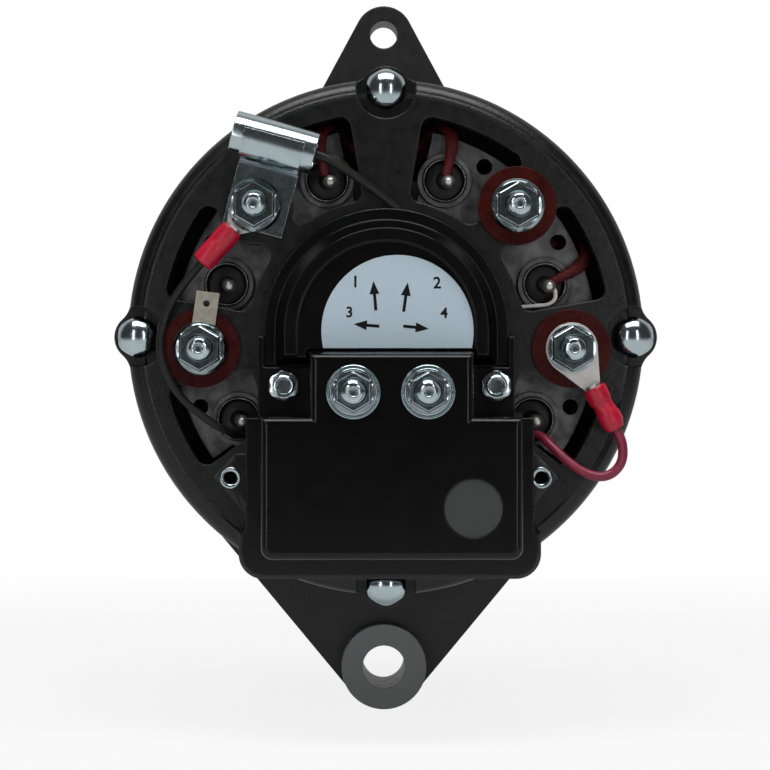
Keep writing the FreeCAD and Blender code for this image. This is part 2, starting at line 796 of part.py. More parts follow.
def through_bolts():
    """Four long bolts with domed heads, from the rear spot faces into the drive-end lugs."""
    body = new_body("through_bolts")
    seat = f"({REAR_FACE} - spot_depth)"
    start = "(front_depth - bolt_bite)"
    shanks = sketch(body, offset=start)
    circles(shanks, BOLTS, "bolt_radius")
    pad(body, shanks, f"{seat} - {start}")
    heads = sketch(body, offset=seat)
    circles(heads, BOLTS, "bolt_head_radius")
    pad(body, heads, "bolt_head_height - bolt_dome_radius")
    domes = sketch(body, offset=f"{seat} + bolt_head_height - bolt_dome_radius")
    circles(domes, BOLTS, "bolt_head_radius")
    pad(body, domes, "bolt_dome_radius", draft="40")
    return body


def stator_core():
    """Laminated ring with open slots towards the rotor."""
    body = new_body("stator_core")
    laminations = sketch(body, offset=CORE_START)
    ring(laminations, "core_radius", "core_bore")
    pad(body, laminations, "core_length")
    slot = sketch(body, offset=CORE_END)
    rectangle(slot, "core_bore - 1", "slot_bottom", "-slot_width / 2", "slot_width / 2")
    polar(body, [pocket(body, slot, "core_length")], "slot_count")
    return body


def stator_windings():
    """End turns at both ends, joined by the conductors that lie in the slots."""
    body = new_body("stator_windings")
    for start in (f"{CORE_START} - winding_overhang", CORE_END):
        turns = sketch(body, offset=start)
        ring(turns, "winding_outer", "winding_inner")
        pad(body, turns, "winding_overhang")
    bar = sketch(body, offset=CORE_START)
    rectangle(bar, "core_bore + tooth_lip", "slot_bottom - seat_gap",
              "-slot_width / 2 + seat_gap", "slot_width / 2 - seat_gap")
    polar(body, [pad(body, bar, "core_length")], "slot_count")
    return body


def heat_sink(name, side):
    """Crescent plate behind the windows, with a collar around each diode."""
    body = new_body(name)
    plate = sketch(body, offset=SINK_BACK)
    low, top = "sink_low_angle", "sink_top_angle"
    if side > 0:
        sector(plate, "sink_inner", "sink_outer", low, top)
    else:
        sector(plate, "sink_inner", "sink_outer", f"(180 - {top})", f"(180 - {low})")
    pad(body, plate, "sink_thickness")
    collars = sketch(body, offset=SINK_FACE)
    circles(collars, diode_places(side), "diode_collar_radius")
    pad(body, collars, "diode_collar_height")
    holes = sketch(body, offset=f"{SINK_FACE} + diode_collar_height")
    circles(holes, diode_places(side), "diode_radius + press_gap")
    circles(holes, [stud_place(side, "upper_stud_angle"), stud_place(side, "side_stud_angle")],
            "stud_radius + screw_gap")
    for angle in ("sink_hole_top_angle", "sink_hole_side_angle", "sink_hole_low_angle"):
        circle(holes, f"{side} * sink_hole_circle * cos({angle})", f"sink_hole_circle * sin({angle})",
               "sink_hole_radius")
    pocket(body, holes, "diode_collar_height + sink_thickness + 1")
    return body


def diode_places(side):
    return [
        (f"{side} * diode_circle * cos({angle})", f"diode_circle * sin({angle})")
        for angle in ("diode_top_angle", "diode_side_angle", "diode_low_angle")
    ]


def diodes():
    """Six press-fit diodes with their leads."""
    body = new_body("diodes")
    places = diode_places(1) + diode_places(-1)
    cups = sketch(body, offset=f"{SINK_BACK} - diode_bottom")
    circles(cups, places, "diode_radius")
    pad(body, cups, "diode_bottom + sink_thickness + diode_rise")
    leads = sketch(body, offset=f"{SINK_FACE} + diode_rise")
    circles(leads, places, "diode_lead_radius")
    pad(body, leads, "diode_lead_reach")
    return body


def terminal_studs():
    """Four studs, held by hexagon heads behind the heat sinks."""
    body = new_body("terminal_studs")
    heads = sketch(body, offset=f"{SINK_BACK} - stud_head_height")
    for x, y in STUDS:
        hexagon(heads, x, y, "stud_head_across")
    pad(body, heads, "stud_head_height")
    shanks = sketch(body, offset=SINK_BACK)
    circles(shanks, STUDS, "stud_radius")
    pad(body, shanks, "sink_thickness + sink_depth + stud_reach")
    return body


def insulating_washers():
    """Moulded washers between the housing bosses and three of the nuts."""
    body = new_body("insulating_washers")
    rings = sketch(body, offset=REAR_FACE)
    for x, y in INSULATED:
        ring(rings, "insulator_radius", "stud_radius + screw_gap", x, y)
    pad(body, rings, "insulator_thickness")
    return body


# What lies between the housing face and the nut on each stud, and the radius of the nut's flange.
NUT_SEATS = [
    (UPPER_RIGHT, f"{REAR_FACE} + insulator_thickness", "nut_flange_radius"),
    (UPPER_LEFT, f"{REAR_FACE} + strap_thickness + ring_thickness", "nut_flange_radius"),
    (SIDE_RIGHT, f"{REAR_FACE} + insulator_thickness + ring_thickness", "narrow_flange_radius"),
    (SIDE_LEFT, f"{REAR_FACE} + insulator_thickness + ring_thickness", "nut_flange_radius"),
]


def terminal_nuts():
    """Hexagon nuts with a round flange on the four studs."""
    body = new_body("terminal_nuts")
    bore = "stud_radius + screw_gap"
    for (x, y), station, flange_radius in NUT_SEATS:
        flange = sketch(body, offset=station)
        ring(flange, flange_radius, bore, x, y)
        pad(body, flange, "nut_flange_height")
        sides = sketch(body, offset=f"{station} + nut_flange_height")
        hexagon(sides, x, y, "nut_across")
        circle(sides, x, y, bore)
        pad(body, sides, "nut_height - nut_flange_height")
    return body


def regulator_base():
    """Mounting flange of the regulator, on the housing's pad."""
    body = new_body("regulator_base")
    plate = sketch(body, offset=PAD_FACE)
    left, right = "regulator_shift - base_half_width", "regulator_shift + base_half_width"
    waist_left = "regulator_shift - base_waist_half_width"
    waist_right = "regulator_shift + base_waist_half_width"
    neck_left, neck_right = "-base_neck_half_width", "base_neck_half_width"
    foot_y = "(base_foot_top - (base_half_width - base_waist_half_width))"
    corner_y = "base_bottom + base_round"
    outline(plate, [
        (waist_left, "base_step"),
        (waist_left, "base_foot_top"),
        (left, foot_y),
        (left, corner_y),
        (f"{left} + base_round", "base_bottom", f"{left} + base_round", corner_y, 1),
        (f"{right} - base_round", "base_bottom"),
        (right, corner_y, f"{right} - base_round", corner_y, 1),
        (right, foot_y),
        (waist_right, "base_foot_top"),
        (waist_right, "base_step"),
        (neck_right, "base_step"),
        (neck_right, "base_horn_top"),
        ("cover_half_width + seat_gap", "base_horn_top"),
        ("cover_half_width + seat_gap", "base_top"),
        ("-cover_half_width - seat_gap", "base_top"),
        ("-cover_half_width - seat_gap", "base_horn_top"),
        (neck_left, "base_horn_top"),
        (neck_left, "base_step"),
    ])
    pad(body, plate, "base_thickness")
    face = value(BASE_FACE)
    edge_finish(body, "Chamfer", "base_thickness / 4",
                lambda edge: lies_at(edge, face) and edge.BoundBox.YMax < value("base_step") - 1)
    holes = sketch(body, offset=BASE_FACE)
    circles(holes, REGULATOR_SCREWS, "regulator_screw_radius + screw_gap")
    pocket(body, holes, "base_thickness")
    return body


def regulator_case():
    """Moulded regulator case: T-shaped, drafted, with a stepped top and a potting hole."""
    body = new_body("regulator_case")
    shell = sketch(body, offset=BASE_FACE)
    left, right = "case_shift - case_half_width", "case_shift + case_half_width"
    neck_left, neck_right = "case_shift - case_neck_half_width", "case_shift + case_neck_half_width"
    outline(shell, [
        (left, "case_notch"),
        (left, "case_bottom"),
        (right, "case_bottom"),
        (right, "case_notch"),
        (neck_right, "case_notch"),
        (neck_right, "case_top"),
        (neck_left, "case_top"),
        (neck_left, "case_notch"),
    ])
    pad(body, shell, "case_height", draft="case_draft")
    face = value(CASE_FACE)
    corners = value("case_notch")
    edge_finish(body, "Fillet", "case_round",
                lambda edge: edge.BoundBox.ZLength > value("case_height") - 0.01
                and abs(edge.BoundBox.Center.y) > abs(corners) + 3)
    edge_finish(body, "Fillet", "case_edge_round", lambda edge: lies_at(edge, face))
    holes = sketch(body, offset=CASE_FACE)
    circle(holes, "plug_x", "plug_y", "plug_radius + press_gap")
    pocket(body, holes, "plug_depth")
    stud_holes = sketch(body, offset=CASE_FACE)
    circles(stud_holes, REGULATOR_STUDS, "stud_radius + press_gap")
    pocket(body, stud_holes, "regulator_stud_sink")
    return body


def regulator_plug():
    body = new_body("regulator_plug")
    disc = sketch(body, offset=f"{CASE_FACE} - plug_depth")
    circle(disc, "plug_x", "plug_y", "plug_radius")
    pad(body, disc, "plug_depth - plug_sink")
    return body


def regulator_fasteners():
    """Two studs moulded into the case with washers and nuts, and two socket screws through the base."""
    studs = new_body("regulator_studs")
    shanks = sketch(studs, offset=f"{CASE_FACE} - regulator_stud_sink")
    circles(shanks, REGULATOR_STUDS, "stud_radius")
    pad(studs, shanks, "regulator_stud_sink + regulator_stud_reach")
    washers = new_body("regulator_washers")
    rings = sketch(washers, offset=CASE_FACE)
    for x, y in REGULATOR_STUDS:
        ring(rings, "regulator_washer_radius", "stud_radius + screw_gap", x, y)
    pad(washers, rings, "regulator_washer_thickness")
    nuts = new_body("regulator_nuts")
    sides = sketch(nuts, offset=f"{CASE_FACE} + regulator_washer_thickness")
    for x, y in REGULATOR_STUDS:
        hexagon(sides, x, y, "regulator_nut_across")
        circle(sides, x, y, "stud_radius + screw_gap")
    pad(nuts, sides, "nut_height")
    screws = new_body("regulator_screws")
    heads = sketch(screws, offset=BASE_FACE)
    circles(heads, REGULATOR_SCREWS, "regulator_screw_head")
    pad(screws, heads, "regulator_screw_rise")
    sockets = sketch(screws, offset=f"{BASE_FACE} + regulator_screw_rise")
    circles(sockets, REGULATOR_SCREWS, "regulator_screw_socket")
    pocket(screws, sockets, "regulator_screw_rise / 2")
    threads = sketch(screws, offset=REAR_WALL_INSIDE)
    circles(threads, REGULATOR_SCREWS, "regulator_screw_radius")
    pad(screws, threads, "rear_wall + pad_height + base_thickness")


def arch(item, half_width, foot):
    """The cover's D shape: a half circle on straight sides."""
    outline(item, [
        (f"-{half_width}", foot),
        (half_width, foot),
        (half_width, "cover_centre"),
        (f"-{half_width}", "cover_centre", "0", "cover_centre", 1),
    ])


def bearing_cover():
    """D-shaped cover over the rear bearing: foot, slope, raised rim and dished front, hollow behind."""
    body = new_body("bearing_cover")
    foot = sketch(body, offset=REAR_FACE)
    arch(foot, "cover_half_width", "cover_foot")
    pad(body, foot, "cover_foot_height")
    slope = sketch(body, offset=f"{REAR_FACE} + cover_foot_height")
    arch(slope, "cover_slope_half_width", "cover_foot")
    pad(body, slope, "cover_height - cover_foot_height",
        draft="atan((cover_slope_half_width - cover_rim_half_width) / (cover_height - cover_foot_height))")
    dish = sketch(body, offset=COVER_FACE)
    arch(dish, "cover_dish_half_width", "cover_foot - 1")
    pocket(body, dish, "cover_dish_depth")
    hollow = sketch(body, offset=f"{DISH_FLOOR} - cover_shell")
    arch(hollow, "(cover_rim_half_width - cover_shell)", "cover_foot + cover_shell")
    pocket(body, hollow, "cover_height - cover_dish_depth - cover_shell")
    notch = sketch(body, offset=COVER_FACE)
    rectangle(notch, "case_shift - case_neck_half_width - seat_gap",
              "case_shift + case_neck_half_width + seat_gap", "cover_foot - 1", "case_top + seat_gap")
    pocket(body, notch, "cover_height")
    passage = sketch(body, offset=f"{REAR_FACE} + lead_notch_height")
    rectangle(passage, "lead_notch_left", "lead_notch_right", "cover_centre + cover_dish_half_width - 2",
              "cover_centre + cover_half_width + 1")
    pocket(body, passage, "lead_notch_height")
    return body


def label_plate():
    """Half-moon plate in the cover's dish."""
    body = new_body("label_plate")
    plate = sketch(body, offset=DISH_FLOOR)
    half_chord = "sqrt(plate_radius ^ 2 - (plate_y - plate_foot) ^ 2)"
    outline(plate, [
        (f"plate_x + {half_chord}", "plate_foot"),
        (f"plate_x - {half_chord}", "plate_foot", "plate_x", "plate_y", 1),
    ])
    pad(body, plate, "plate_thickness")
    return body


def bearing_outer_ring(label, end):
    """Outer ring with its seals, which reach in almost to the inner ring."""
    body = new_body(label)
    race = sketch(body, offset=f"{end}_bearing_start")
    ring(race, f"{end}_bearing_radius", f"{end}_race_radius + race_gap")
    pad(body, race, f"{end}_bearing_width")
    return body


def bearing_inner_ring(label, end, shaft):
    body = new_body(label)
    race = sketch(body, offset=f"{end}_bearing_start")
    ring(race, f"{end}_race_radius", f"{shaft} + press_gap")
    pad(body, race, f"{end}_bearing_width")
    return body


def bearing_retainer():
    """Plate that holds the front bearing in its hub, and its three screws."""
    plate = new_body("bearing_retainer")
    face = sketch(plate, offset=FRONT_BEARING_END)
    ring(face, "retainer_outer", "retainer_inner")
    circles(face, RETAINER_SCREWS, "retainer_screw_radius + screw_gap")
    pad(plate, face, "retainer_thickness")
    screws = new_body("retainer_screws")
    shanks = sketch(screws, offset=f"{FRONT_BEARING_END} - retainer_screw_bite")
    circles(shanks, RETAINER_SCREWS, "retainer_screw_radius")
    pad(screws, shanks, "retainer_screw_bite + retainer_thickness")
    heads = sketch(screws, offset=f"{FRONT_BEARING_END} + retainer_thickness")
    circles(heads, RETAINER_SCREWS, "retainer_head_radius")
    pad(screws, heads, "retainer_head_height")


def shaft():
    """Stepped shaft: thread, pulley and bearing seat, collar, pole seat, slip-ring seat, rear bearing seat."""
    body = new_body("shaft")
    turned(body, [
        ("0", SHAFT_TIP),
        ("shaft_thread_radius - 1", SHAFT_TIP),
        ("shaft_thread_radius", f"{SHAFT_TIP} + 1"),
        ("shaft_thread_radius", PULLEY_FRONT),
        ("shaft_front_radius", PULLEY_FRONT),
        ("shaft_front_radius", FRONT_BEARING_END),
        ("shaft_collar_radius", FRONT_BEARING_END),
        ("shaft_collar_radius", POLE_START),
        ("shaft_pole_radius", POLE_START),
        ("shaft_pole_radius", POLE_END),
        ("shaft_slip_radius", POLE_END),
        ("shaft_slip_radius", "rear_bearing_start"),
        ("shaft_rear_radius", "rear_bearing_start"),
        ("shaft_rear_radius", "shaft_rear_reach"),
        ("0", "shaft_rear_reach"),
    ])
    keyway = sketch(body, "XY_Plane", f"{PULLEY_FRONT} + key_end_gap + key_length")
    rectangle(keyway, "-key_width / 2 - press_gap", "key_width / 2 + press_gap",
              "shaft_front_radius - key_height / 2", "shaft_front_radius + 1")
    pocket(body, keyway, "key_length")
    return body


def pulley_key():
    body = new_body("pulley_key")
    face = sketch(body, offset=f"{PULLEY_FRONT} + key_end_gap")
    rectangle(face, "-key_width / 2", "key_width / 2", "shaft_front_radius - key_height / 2 + press_gap",
              "shaft_front_radius + key_height / 2")
    pad(body, face, "key_length")
    return body


def claw_pole(label, front):
    """A star of six arms with a neck towards the middle; each arm bends into a tapering claw."""
    body = new_body(label)
    disc_start = POLE_START if front else f"({POLE_END} - pole_disc)"
    inner_face = f"({POLE_START} + pole_disc)" if front else f"({POLE_END} - pole_disc)"
    far_end = f"({POLE_END} - claw_tip_gap)" if front else f"({POLE_START} + claw_tip_gap)"
    middle = f"({POLE_START} + pole_length / 2)"
    turn = "0" if front else "180 / pole_count"
    disc = sketch(body, offset=disc_start)
    circle(disc, "0", "0", "pole_hub_radius")
    pad(body, disc, "pole_disc")
    neck = sketch(body, offset=inner_face if front else middle)
    circle(neck, "0", "0", "pole_neck_radius")
    pad(body, neck, "pole_length / 2 - pole_disc")
    root = sketch(body, offset=disc_start)
    sector(root, "(pole_hub_radius - 3)", ROTOR_RADIUS, f"({turn} - claw_root_angle / 2)",
           f"({turn} + claw_root_angle / 2)")
    arm = pad(body, root, "pole_disc")
    loft = claw(body, inner_face, far_end, turn)
    polar(body, [arm, loft], "pole_count")
    bore = sketch(body, offset=middle if front else POLE_END)
    circle(bore, "0", "0", "shaft_pole_radius + press_gap")
    pocket(body, bore, "pole_length / 2")
    return body


def claw(body, root_station, tip_station, turn):
    """The claw itself: a loft from the wide, thick root to the narrow, thin tip."""
    sections = []
    for station, size in ((root_station, "root"), (tip_station, "tip")):
        section = sketch(body, offset=station)
        sector(section, f"claw_{size}_inner", ROTOR_RADIUS, f"({turn} - claw_{size}_angle / 2)",
               f"({turn} + claw_{size}_angle / 2)")
        sections.append(section)
    loft = body.newObject("PartDesign::AdditiveLoft", f"{body.Name}_claw")
    loft.Profile = sections[0]
    loft.Sections = sections[1:]
    loft.Ruled = True
    doc.recompute()
    return loft


def field_coil():
    """Field winding between the pole discs, on its bobbin."""
    coil = new_body("field_coil")
    start, end = f"({POLE_START} + pole_disc + bobbin_wall)", f"({POLE_END} - pole_disc - bobbin_wall)"
    wire = sketch(coil, offset=f"{start} + press_gap")
    ring(wire, "coil_radius", "pole_neck_radius + bobbin_wall + 2 * press_gap")
    pad(coil, wire, f"{end} - {start} - 2 * press_gap")
    bobbin = new_body("coil_bobbin")
    turned(bobbin, [
        ("pole_neck_radius + press_gap", f"{start} - bobbin_wall + press_gap"),
        ("bobbin_rim", f"{start} - bobbin_wall + press_gap"),
        ("bobbin_rim", start),
        ("pole_neck_radius + press_gap + bobbin_wall", start),
        ("pole_neck_radius + press_gap + bobbin_wall", end),
        ("bobbin_rim", end),
        ("bobbin_rim", f"{end} + bobbin_wall - press_gap"),
        ("pole_neck_radius + press_gap", f"{end} + bobbin_wall - press_gap"),
    ])


def slip_rings():
    """Two copper rings on a moulded sleeve."""
    rings = new_body("slip_rings")
    for start in ("slip_ring_start", "slip_ring_start + slip_ring_pitch"):
        track = sketch(rings, offset=start)
        ring(track, "slip_ring_radius", "sleeve_radius + press_gap")
        pad(rings, track, "slip_ring_width")
    sleeve = new_body("slip_ring_sleeve")
    tube = sketch(sleeve, offset="sleeve_start")
    ring(tube, "sleeve_radius", "shaft_slip_radius + press_gap")
    pad(sleeve, tube, "slip_ring_start - sleeve_start + slip_ring_pitch + slip_ring_width + 1")


def fan_spacer():
    body = new_body("fan_spacer")
    tube = sketch(body, offset=FAN_BACK)
    ring(tube, "spacer_radius", "shaft_front_radius + press_gap")
    pad(body, tube, "fan_standoff + front_bearing_start")
    return body


def fan():
    """Pressed fan: a disc whose petals each carry a blade bent back towards the housing."""
    body = new_body("fan")
    disc = sketch(body, offset=FAN_FRONT)
    ring(disc, "fan_hub_radius", "shaft_front_radius + press_gap")
    pad(body, disc, "fan_thickness")
    petal = sketch(body, offset=FAN_FRONT)
    sector(petal, "(fan_hub_radius - 4)", "fan_radius", "0", "fan_petal_angle")
    plate = pad(body, petal, "fan_thickness")
    blade = sketch(body, offset=FAN_BACK)
    root, lean = "(fan_hub_radius - 6)", "fan_blade_lean"
    outline(blade, [
        (root, "0"),
        ("(fan_radius - 2)", f"{lean}"),
        ("(fan_radius - 2)", f"{lean} + fan_thickness"),
        (root, "fan_thickness"),
    ])
    polar(body, [plate, pad(body, blade, "fan_blade_reach")], "fan_blade_count")
    return body


def pulley():
    """Single-groove belt pulley, dished at the front for the nut, with a keyway."""
    body = new_body("pulley")
    back = FAN_FRONT
    groove_end = f"({back} - pulley_groove_start)"
    groove_front = f"({groove_end} - pulley_groove_width)"
    floor = "(pulley_radius - pulley_groove_depth)"
    side = "(pulley_groove_width - pulley_groove_floor) / 2"
    turned(body, [
        ("shaft_front_radius + press_gap", PULLEY_FRONT),
        ("pulley_web_radius", PULLEY_FRONT),
        ("pulley_web_radius", f"{PULLEY_FRONT} + pulley_dish_depth"),
        ("pulley_rim_inner", f"{PULLEY_FRONT} + pulley_dish_depth"),
        ("pulley_rim_inner", f"{groove_front} - pulley_lip"),
        ("pulley_radius", f"{groove_front} - pulley_lip"),
        ("pulley_radius", groove_front),
        (floor, f"{groove_front} + {side}"),
        (floor, f"{groove_end} - {side}"),
        ("pulley_radius", groove_end),
        ("pulley_radius", f"{groove_end} + pulley_lip"),
        ("pulley_rim_inner", f"{groove_end} + pulley_lip"),
        ("pulley_web_radius", back),
        ("shaft_front_radius + press_gap", back),
    ])
    keyway = sketch(body, offset=back)
    rectangle(keyway, "-key_width / 2 - press_gap", "key_width / 2 + press_gap",
              "shaft_front_radius - 1", "shaft_front_radius + key_height / 2 + press_gap")
    pocket(body, keyway, "pulley_width")
    return body


def shaft_nut():
    """Lock washer and nut on the threaded end of the shaft."""
    washer = new_body("lock_washer")
    face = sketch(washer, offset=NUT_BACK)
    ring(face, "lock_washer_radius", "shaft_thread_radius + screw_gap")
    pad(washer, face, "lock_washer_thickness")
    nut = new_body("pulley_nut")
    sides = sketch(nut, offset=f"{NUT_BACK} - shaft_nut_height")
    hexagon(sides, "0", "0", "shaft_nut_across")
    circle(sides, "0", "0", "shaft_thread_radius + screw_gap")
    pad(nut, sides, "shaft_nut_height")


BRUSH_TOP = "(-slip_ring_radius - ring_gap)"
BRUSH_FOOT = f"({BRUSH_TOP} - brush_length)"
SPRING_FLOOR = f"({BRUSH_FOOT} - brush_spring_length)"


def brush_station(number):
    """Station of the middle of the slip ring that a brush rides on."""
    return f"(slip_ring_start + slip_ring_width / 2 + {number} * slip_ring_pitch)"


def brushes():
    """Two carbon brushes, hollowed to fit the slip rings, each on its spring."""
    for number, name in enumerate("ab"):
        start = f"{brush_station(number)} - brush_thickness / 2"
        brush = new_body(f"brush_{name}")
        block = sketch(brush, offset=start)
        half, reach = "brush_width / 2", "(slip_ring_radius + ring_gap)"
        shoulder = f"-sqrt({reach} ^ 2 - (brush_width / 2) ^ 2)"
        outline(block, [
            (f"-{half}", BRUSH_FOOT),
            (half, BRUSH_FOOT),
            (half, shoulder),
            (f"-{half}", shoulder, "0", "0", -1),
        ])
        pad(brush, block, "brush_thickness")
        spring = new_body(f"brush_spring_{name}")
        coil = sketch(spring, "XZ_Plane", f"-({SPRING_FLOOR})")
        ring(coil, "brush_spring_radius", "brush_spring_bore", "0", brush_station(number))
        item = pad(spring, coil, "brush_spring_length")
        item.Reversed = True
        doc.recompute()


def brush_holder():
    """Moulded holder: a flange in the housing's recess and a box with a channel for each brush."""
    body = new_body("brush_holder")
    flange = sketch(body, offset=REAR_FACE)
    rectangle(flange, "-brush_opening_half_width - brush_flange_overlap",
              "brush_opening_half_width + brush_flange_overlap",
              "brush_opening_bottom - brush_flange_overlap", "brush_opening_top + brush_flange_overlap")
    pad(body, flange, "pad_height")
    wall = "brush_holder_wall"
    start = f"({brush_station(0)} - brush_thickness / 2 - slide_gap - {wall})"
    end = f"({brush_station(1)} + brush_thickness / 2 + slide_gap + {wall})"
    half = f"(brush_width / 2 + slide_gap + {wall})"
    box = sketch(body, offset=start)
    rectangle(box, f"-{half}", half, f"{SPRING_FLOOR} - {wall}", "brush_holder_top")
    pad(body, box, f"{end} - {start}")
    neck = sketch(body, offset=end)
    rectangle(neck, f"-{half}", half, f"{SPRING_FLOOR} - {wall}",
              "-rear_hub_radius - brush_neck_gap")
    pad(body, neck, f"{REAR_FACE} - {end}")
    for number in range(2):
        middle = brush_station(number)
        channel = sketch(body, offset=f"{middle} + brush_thickness / 2 + slide_gap")
        rectangle(channel, "-brush_width / 2 - slide_gap", "brush_width / 2 + slide_gap",
                  SPRING_FLOOR, "brush_holder_top + 1")
        pocket(body, channel, "brush_thickness + 2 * slide_gap")
    return body


def capacitor():
    """Capacitor can across the rim, its crimped seal, and the strap that reaches to the upper left stud.

    The pieces are drawn about the can's middle, with x along the can, then turned by the can's tilt.
    """
    middle = f"({REAR_FACE} + strap_thickness + capacitor_radius)"
    place = {"x": "capacitor_x", "y": "capacitor_y", "z": middle, "turn": "capacitor_tilt"}
    can = new_body("capacitor_can", **place)
    wall = sketch(can, "YZ_Plane", "-capacitor_length / 2")
    circle(wall, "0", "0", "capacitor_radius")
    pad(can, wall, "capacitor_length")
    mouth = sketch(can, "YZ_Plane", "capacitor_length / 2")
    circle(mouth, "0", "0", "capacitor_radius - capacitor_crimp")
    pocket(can, mouth, "capacitor_crimp")
    seal = new_body("capacitor_seal", **place)
    disc = sketch(seal, "YZ_Plane", "capacitor_length / 2 - capacitor_crimp")
    circle(disc, "0", "0", "capacitor_radius - capacitor_crimp - press_gap")
    circle(disc, "0", "0", "capacitor_lead_radius + press_gap")
    pad(seal, disc, "capacitor_crimp / 2")
    strap = new_body("capacitor_bracket", **place)
    profile = sketch(strap, "YZ_Plane", "-strap_width / 2")
    inner, outer = "(capacitor_radius + press_gap)", "(capacitor_radius + strap_thickness)"
    seat = "(-capacitor_radius - strap_thickness)"
    outline(profile, [
        ("-strap_reach", seat),
        (f"-{inner}", seat),
        (f"-{inner}", "0"),
        ("0", inner, "0", "0", -1),
        ("strap_lip", inner),
        ("strap_lip", outer),
        ("0", outer),
        (f"-{outer}", "0", "0", "0", 1),
        (f"-{outer}", "-capacitor_radius"),
        ("-strap_reach", "-capacitor_radius"),
    ])
    pad(strap, profile, "strap_width")
    across, along = f"({UPPER_LEFT[0]} - capacitor_x)", f"({UPPER_LEFT[1]} - capacitor_y)"
    hole = sketch(strap, offset="0")
    circle(hole, f"{across} * cos(capacitor_tilt) + {along} * sin(capacitor_tilt)",
           f"{along} * cos(capacitor_tilt) - {across} * sin(capacitor_tilt)", "stud_radius + screw_gap")
    pocket(strap, hole, "capacitor_radius + strap_thickness")


def ring_terminal(side, stud, station, turn, start, lead_radius):
    """Ring terminal with its tongue and barrel, and the coloured sleeve crimped over the barrel.

    Both are drawn with x along the tongue, from the stud outwards.
    """
    terminal = new_body(f"{side}_ring_terminal", *stud, station, turn)
    plate = sketch(terminal)
    circle(plate, "0", "0", "ring_radius")
    pad(terminal, plate, "ring_thickness")
    tongue = sketch(terminal)
    root_x, root_y = "ring_radius * sin(20)", "ring_radius * cos(20)"
    outline(tongue, [
        (root_x, f"-{root_y}"),
        (start, "-tongue_width / 2"),
        (start, "tongue_width / 2"),
        (root_x, root_y),
    ])
    pad(terminal, tongue, "ring_thickness")
    barrel = sketch(terminal, "YZ_Plane", f"{start} - ring_thickness")
    circle(barrel, "0", "barrel_rise", "barrel_radius")
    pad(terminal, barrel, "ring_thickness + sleeve_length - crimp_neck_length")
    hole = sketch(terminal, offset="ring_thickness")
    circle(hole, "0", "0", "stud_radius + screw_gap")
    pocket(terminal, hole, "ring_thickness")
    sleeve = new_body(f"{side}_crimp_sleeve", *stud, f"{station} + barrel_rise", turn)
    profile = sketch(sleeve, "XZ_Plane")
    neck = f"({start} + sleeve_length - crimp_neck_length)"
    outline(profile, [
        (start, "barrel_radius + press_gap"),
        (neck, "barrel_radius + press_gap"),
        (neck, f"{lead_radius} + press_gap"),
        (f"{start} + sleeve_length", f"{lead_radius} + press_gap"),
        (f"{start} + sleeve_length", "crimp_neck_radius"),
        (neck, "crimp_radius"),
        (start, "crimp_radius"),
    ])
    item = sleeve.newObject("PartDesign::Revolution", f"{side}_sleeve_turn")
    item.Profile = profile
    item.ReferenceAxis = (profile, ["H_Axis"])
    item.Angle = 360
    doc.recompute()


LEFT_TERMINAL_SEAT = f"({REAR_FACE} + strap_thickness)"
RIGHT_TERMINAL_SEAT = f"({REAR_FACE} + insulator_thickness)"


def blade_terminal():
    """Flat tab under the left side nut, with a hole near its end."""
    body = new_body("blade_terminal", *SIDE_LEFT, f"{REAR_FACE} + insulator_thickness", "blade_turn")
    plate = sketch(body)
    circle(plate, "0", "0", "ring_radius")
    pad(body, plate, "ring_thickness")
    tab = sketch(body)
    rectangle(tab, "ring_radius / 2", "blade_reach", "-blade_width / 2", "blade_width / 2")
    pad(body, tab, "ring_thickness")
    holes = sketch(body, offset="ring_thickness")
    circle(holes, "0", "0", "stud_radius + screw_gap")
    circle(holes, "blade_reach - blade_width / 2", "0", "blade_hole_radius")
    pocket(body, holes, "ring_thickness")


def tubular_rivets():
    """Two tubular rivets in the housing's lower web."""
    body = new_body("tubular_rivets")
    tubes = sketch(body, offset=REAR_WALL_INSIDE)
    flanges = sketch(body, offset=REAR_FACE)
    for x, y in RIVETS:
        ring(tubes, "rivet_radius", "rivet_bore", x, y)
        ring(flanges, "rivet_flange_radius", "rivet_bore", x, y)
    pad(body, tubes, "rear_wall")
    pad(body, flanges, "rivet_flange_height")


def lead_path(points):
    """Straight runs joined by tangent arcs, each 0.45 of its shorter run over the tangent of half its turn."""
    edges, radii, start = [], [], points[0]
    for before, corner, after in zip(points, points[1:], points[2:]):
        back, ahead = before - corner, after - corner
        half_turn = (math.pi - back.getAngle(ahead)) / 2
        trim = 0.45 * min(back.Length, ahead.Length)
        radius = trim / math.tan(half_turn)
        back.normalize()
        ahead.normalize()
        first, last = corner + back * trim, corner + ahead * trim
        inward = (back + ahead).normalize()
        middle = corner + inward * (radius / math.cos(half_turn) - radius)
        edges.append(Part.LineSegment(start, first).toShape())
        edges.append(Part.Arc(first, middle, last).toShape())
        radii.append(radius)
        start = last
    edges.append(Part.LineSegment(start, points[-1]).toShape())
    return Part.Wire(edges), radii


def tube(name, points, radius):
    """A round lead along its path, with its volume held against section times length."""
    path, radii = lead_path(points)
    direction = points[1] - points[0]
    section = Part.Wire([Part.makeCircle(radius, points[0], direction)])
    shape = path.makePipeShell([section], True, False)
    expected = math.pi * radius ** 2 * path.Length
    if abs(shape.Volume - expected) > 0.02 * expected:
        raise ValueError(f"{name}: volume {shape.Volume:.1f}, expected {expected:.1f}")
    print(f"{name}: length {path.Length:.1f}, radii", [round(number, 1) for number in radii])
    return shape


def along_terminal(stud, station, turn, distance):
    """Point on the barrel's axis, at a distance from the stud."""
    return FreeCAD.Vector(value(f"{stud[0]} + {distance} * cos({turn})"),
                          value(f"{stud[1]} + {distance} * sin({turn})"), value(f"{station} + barrel_rise"))


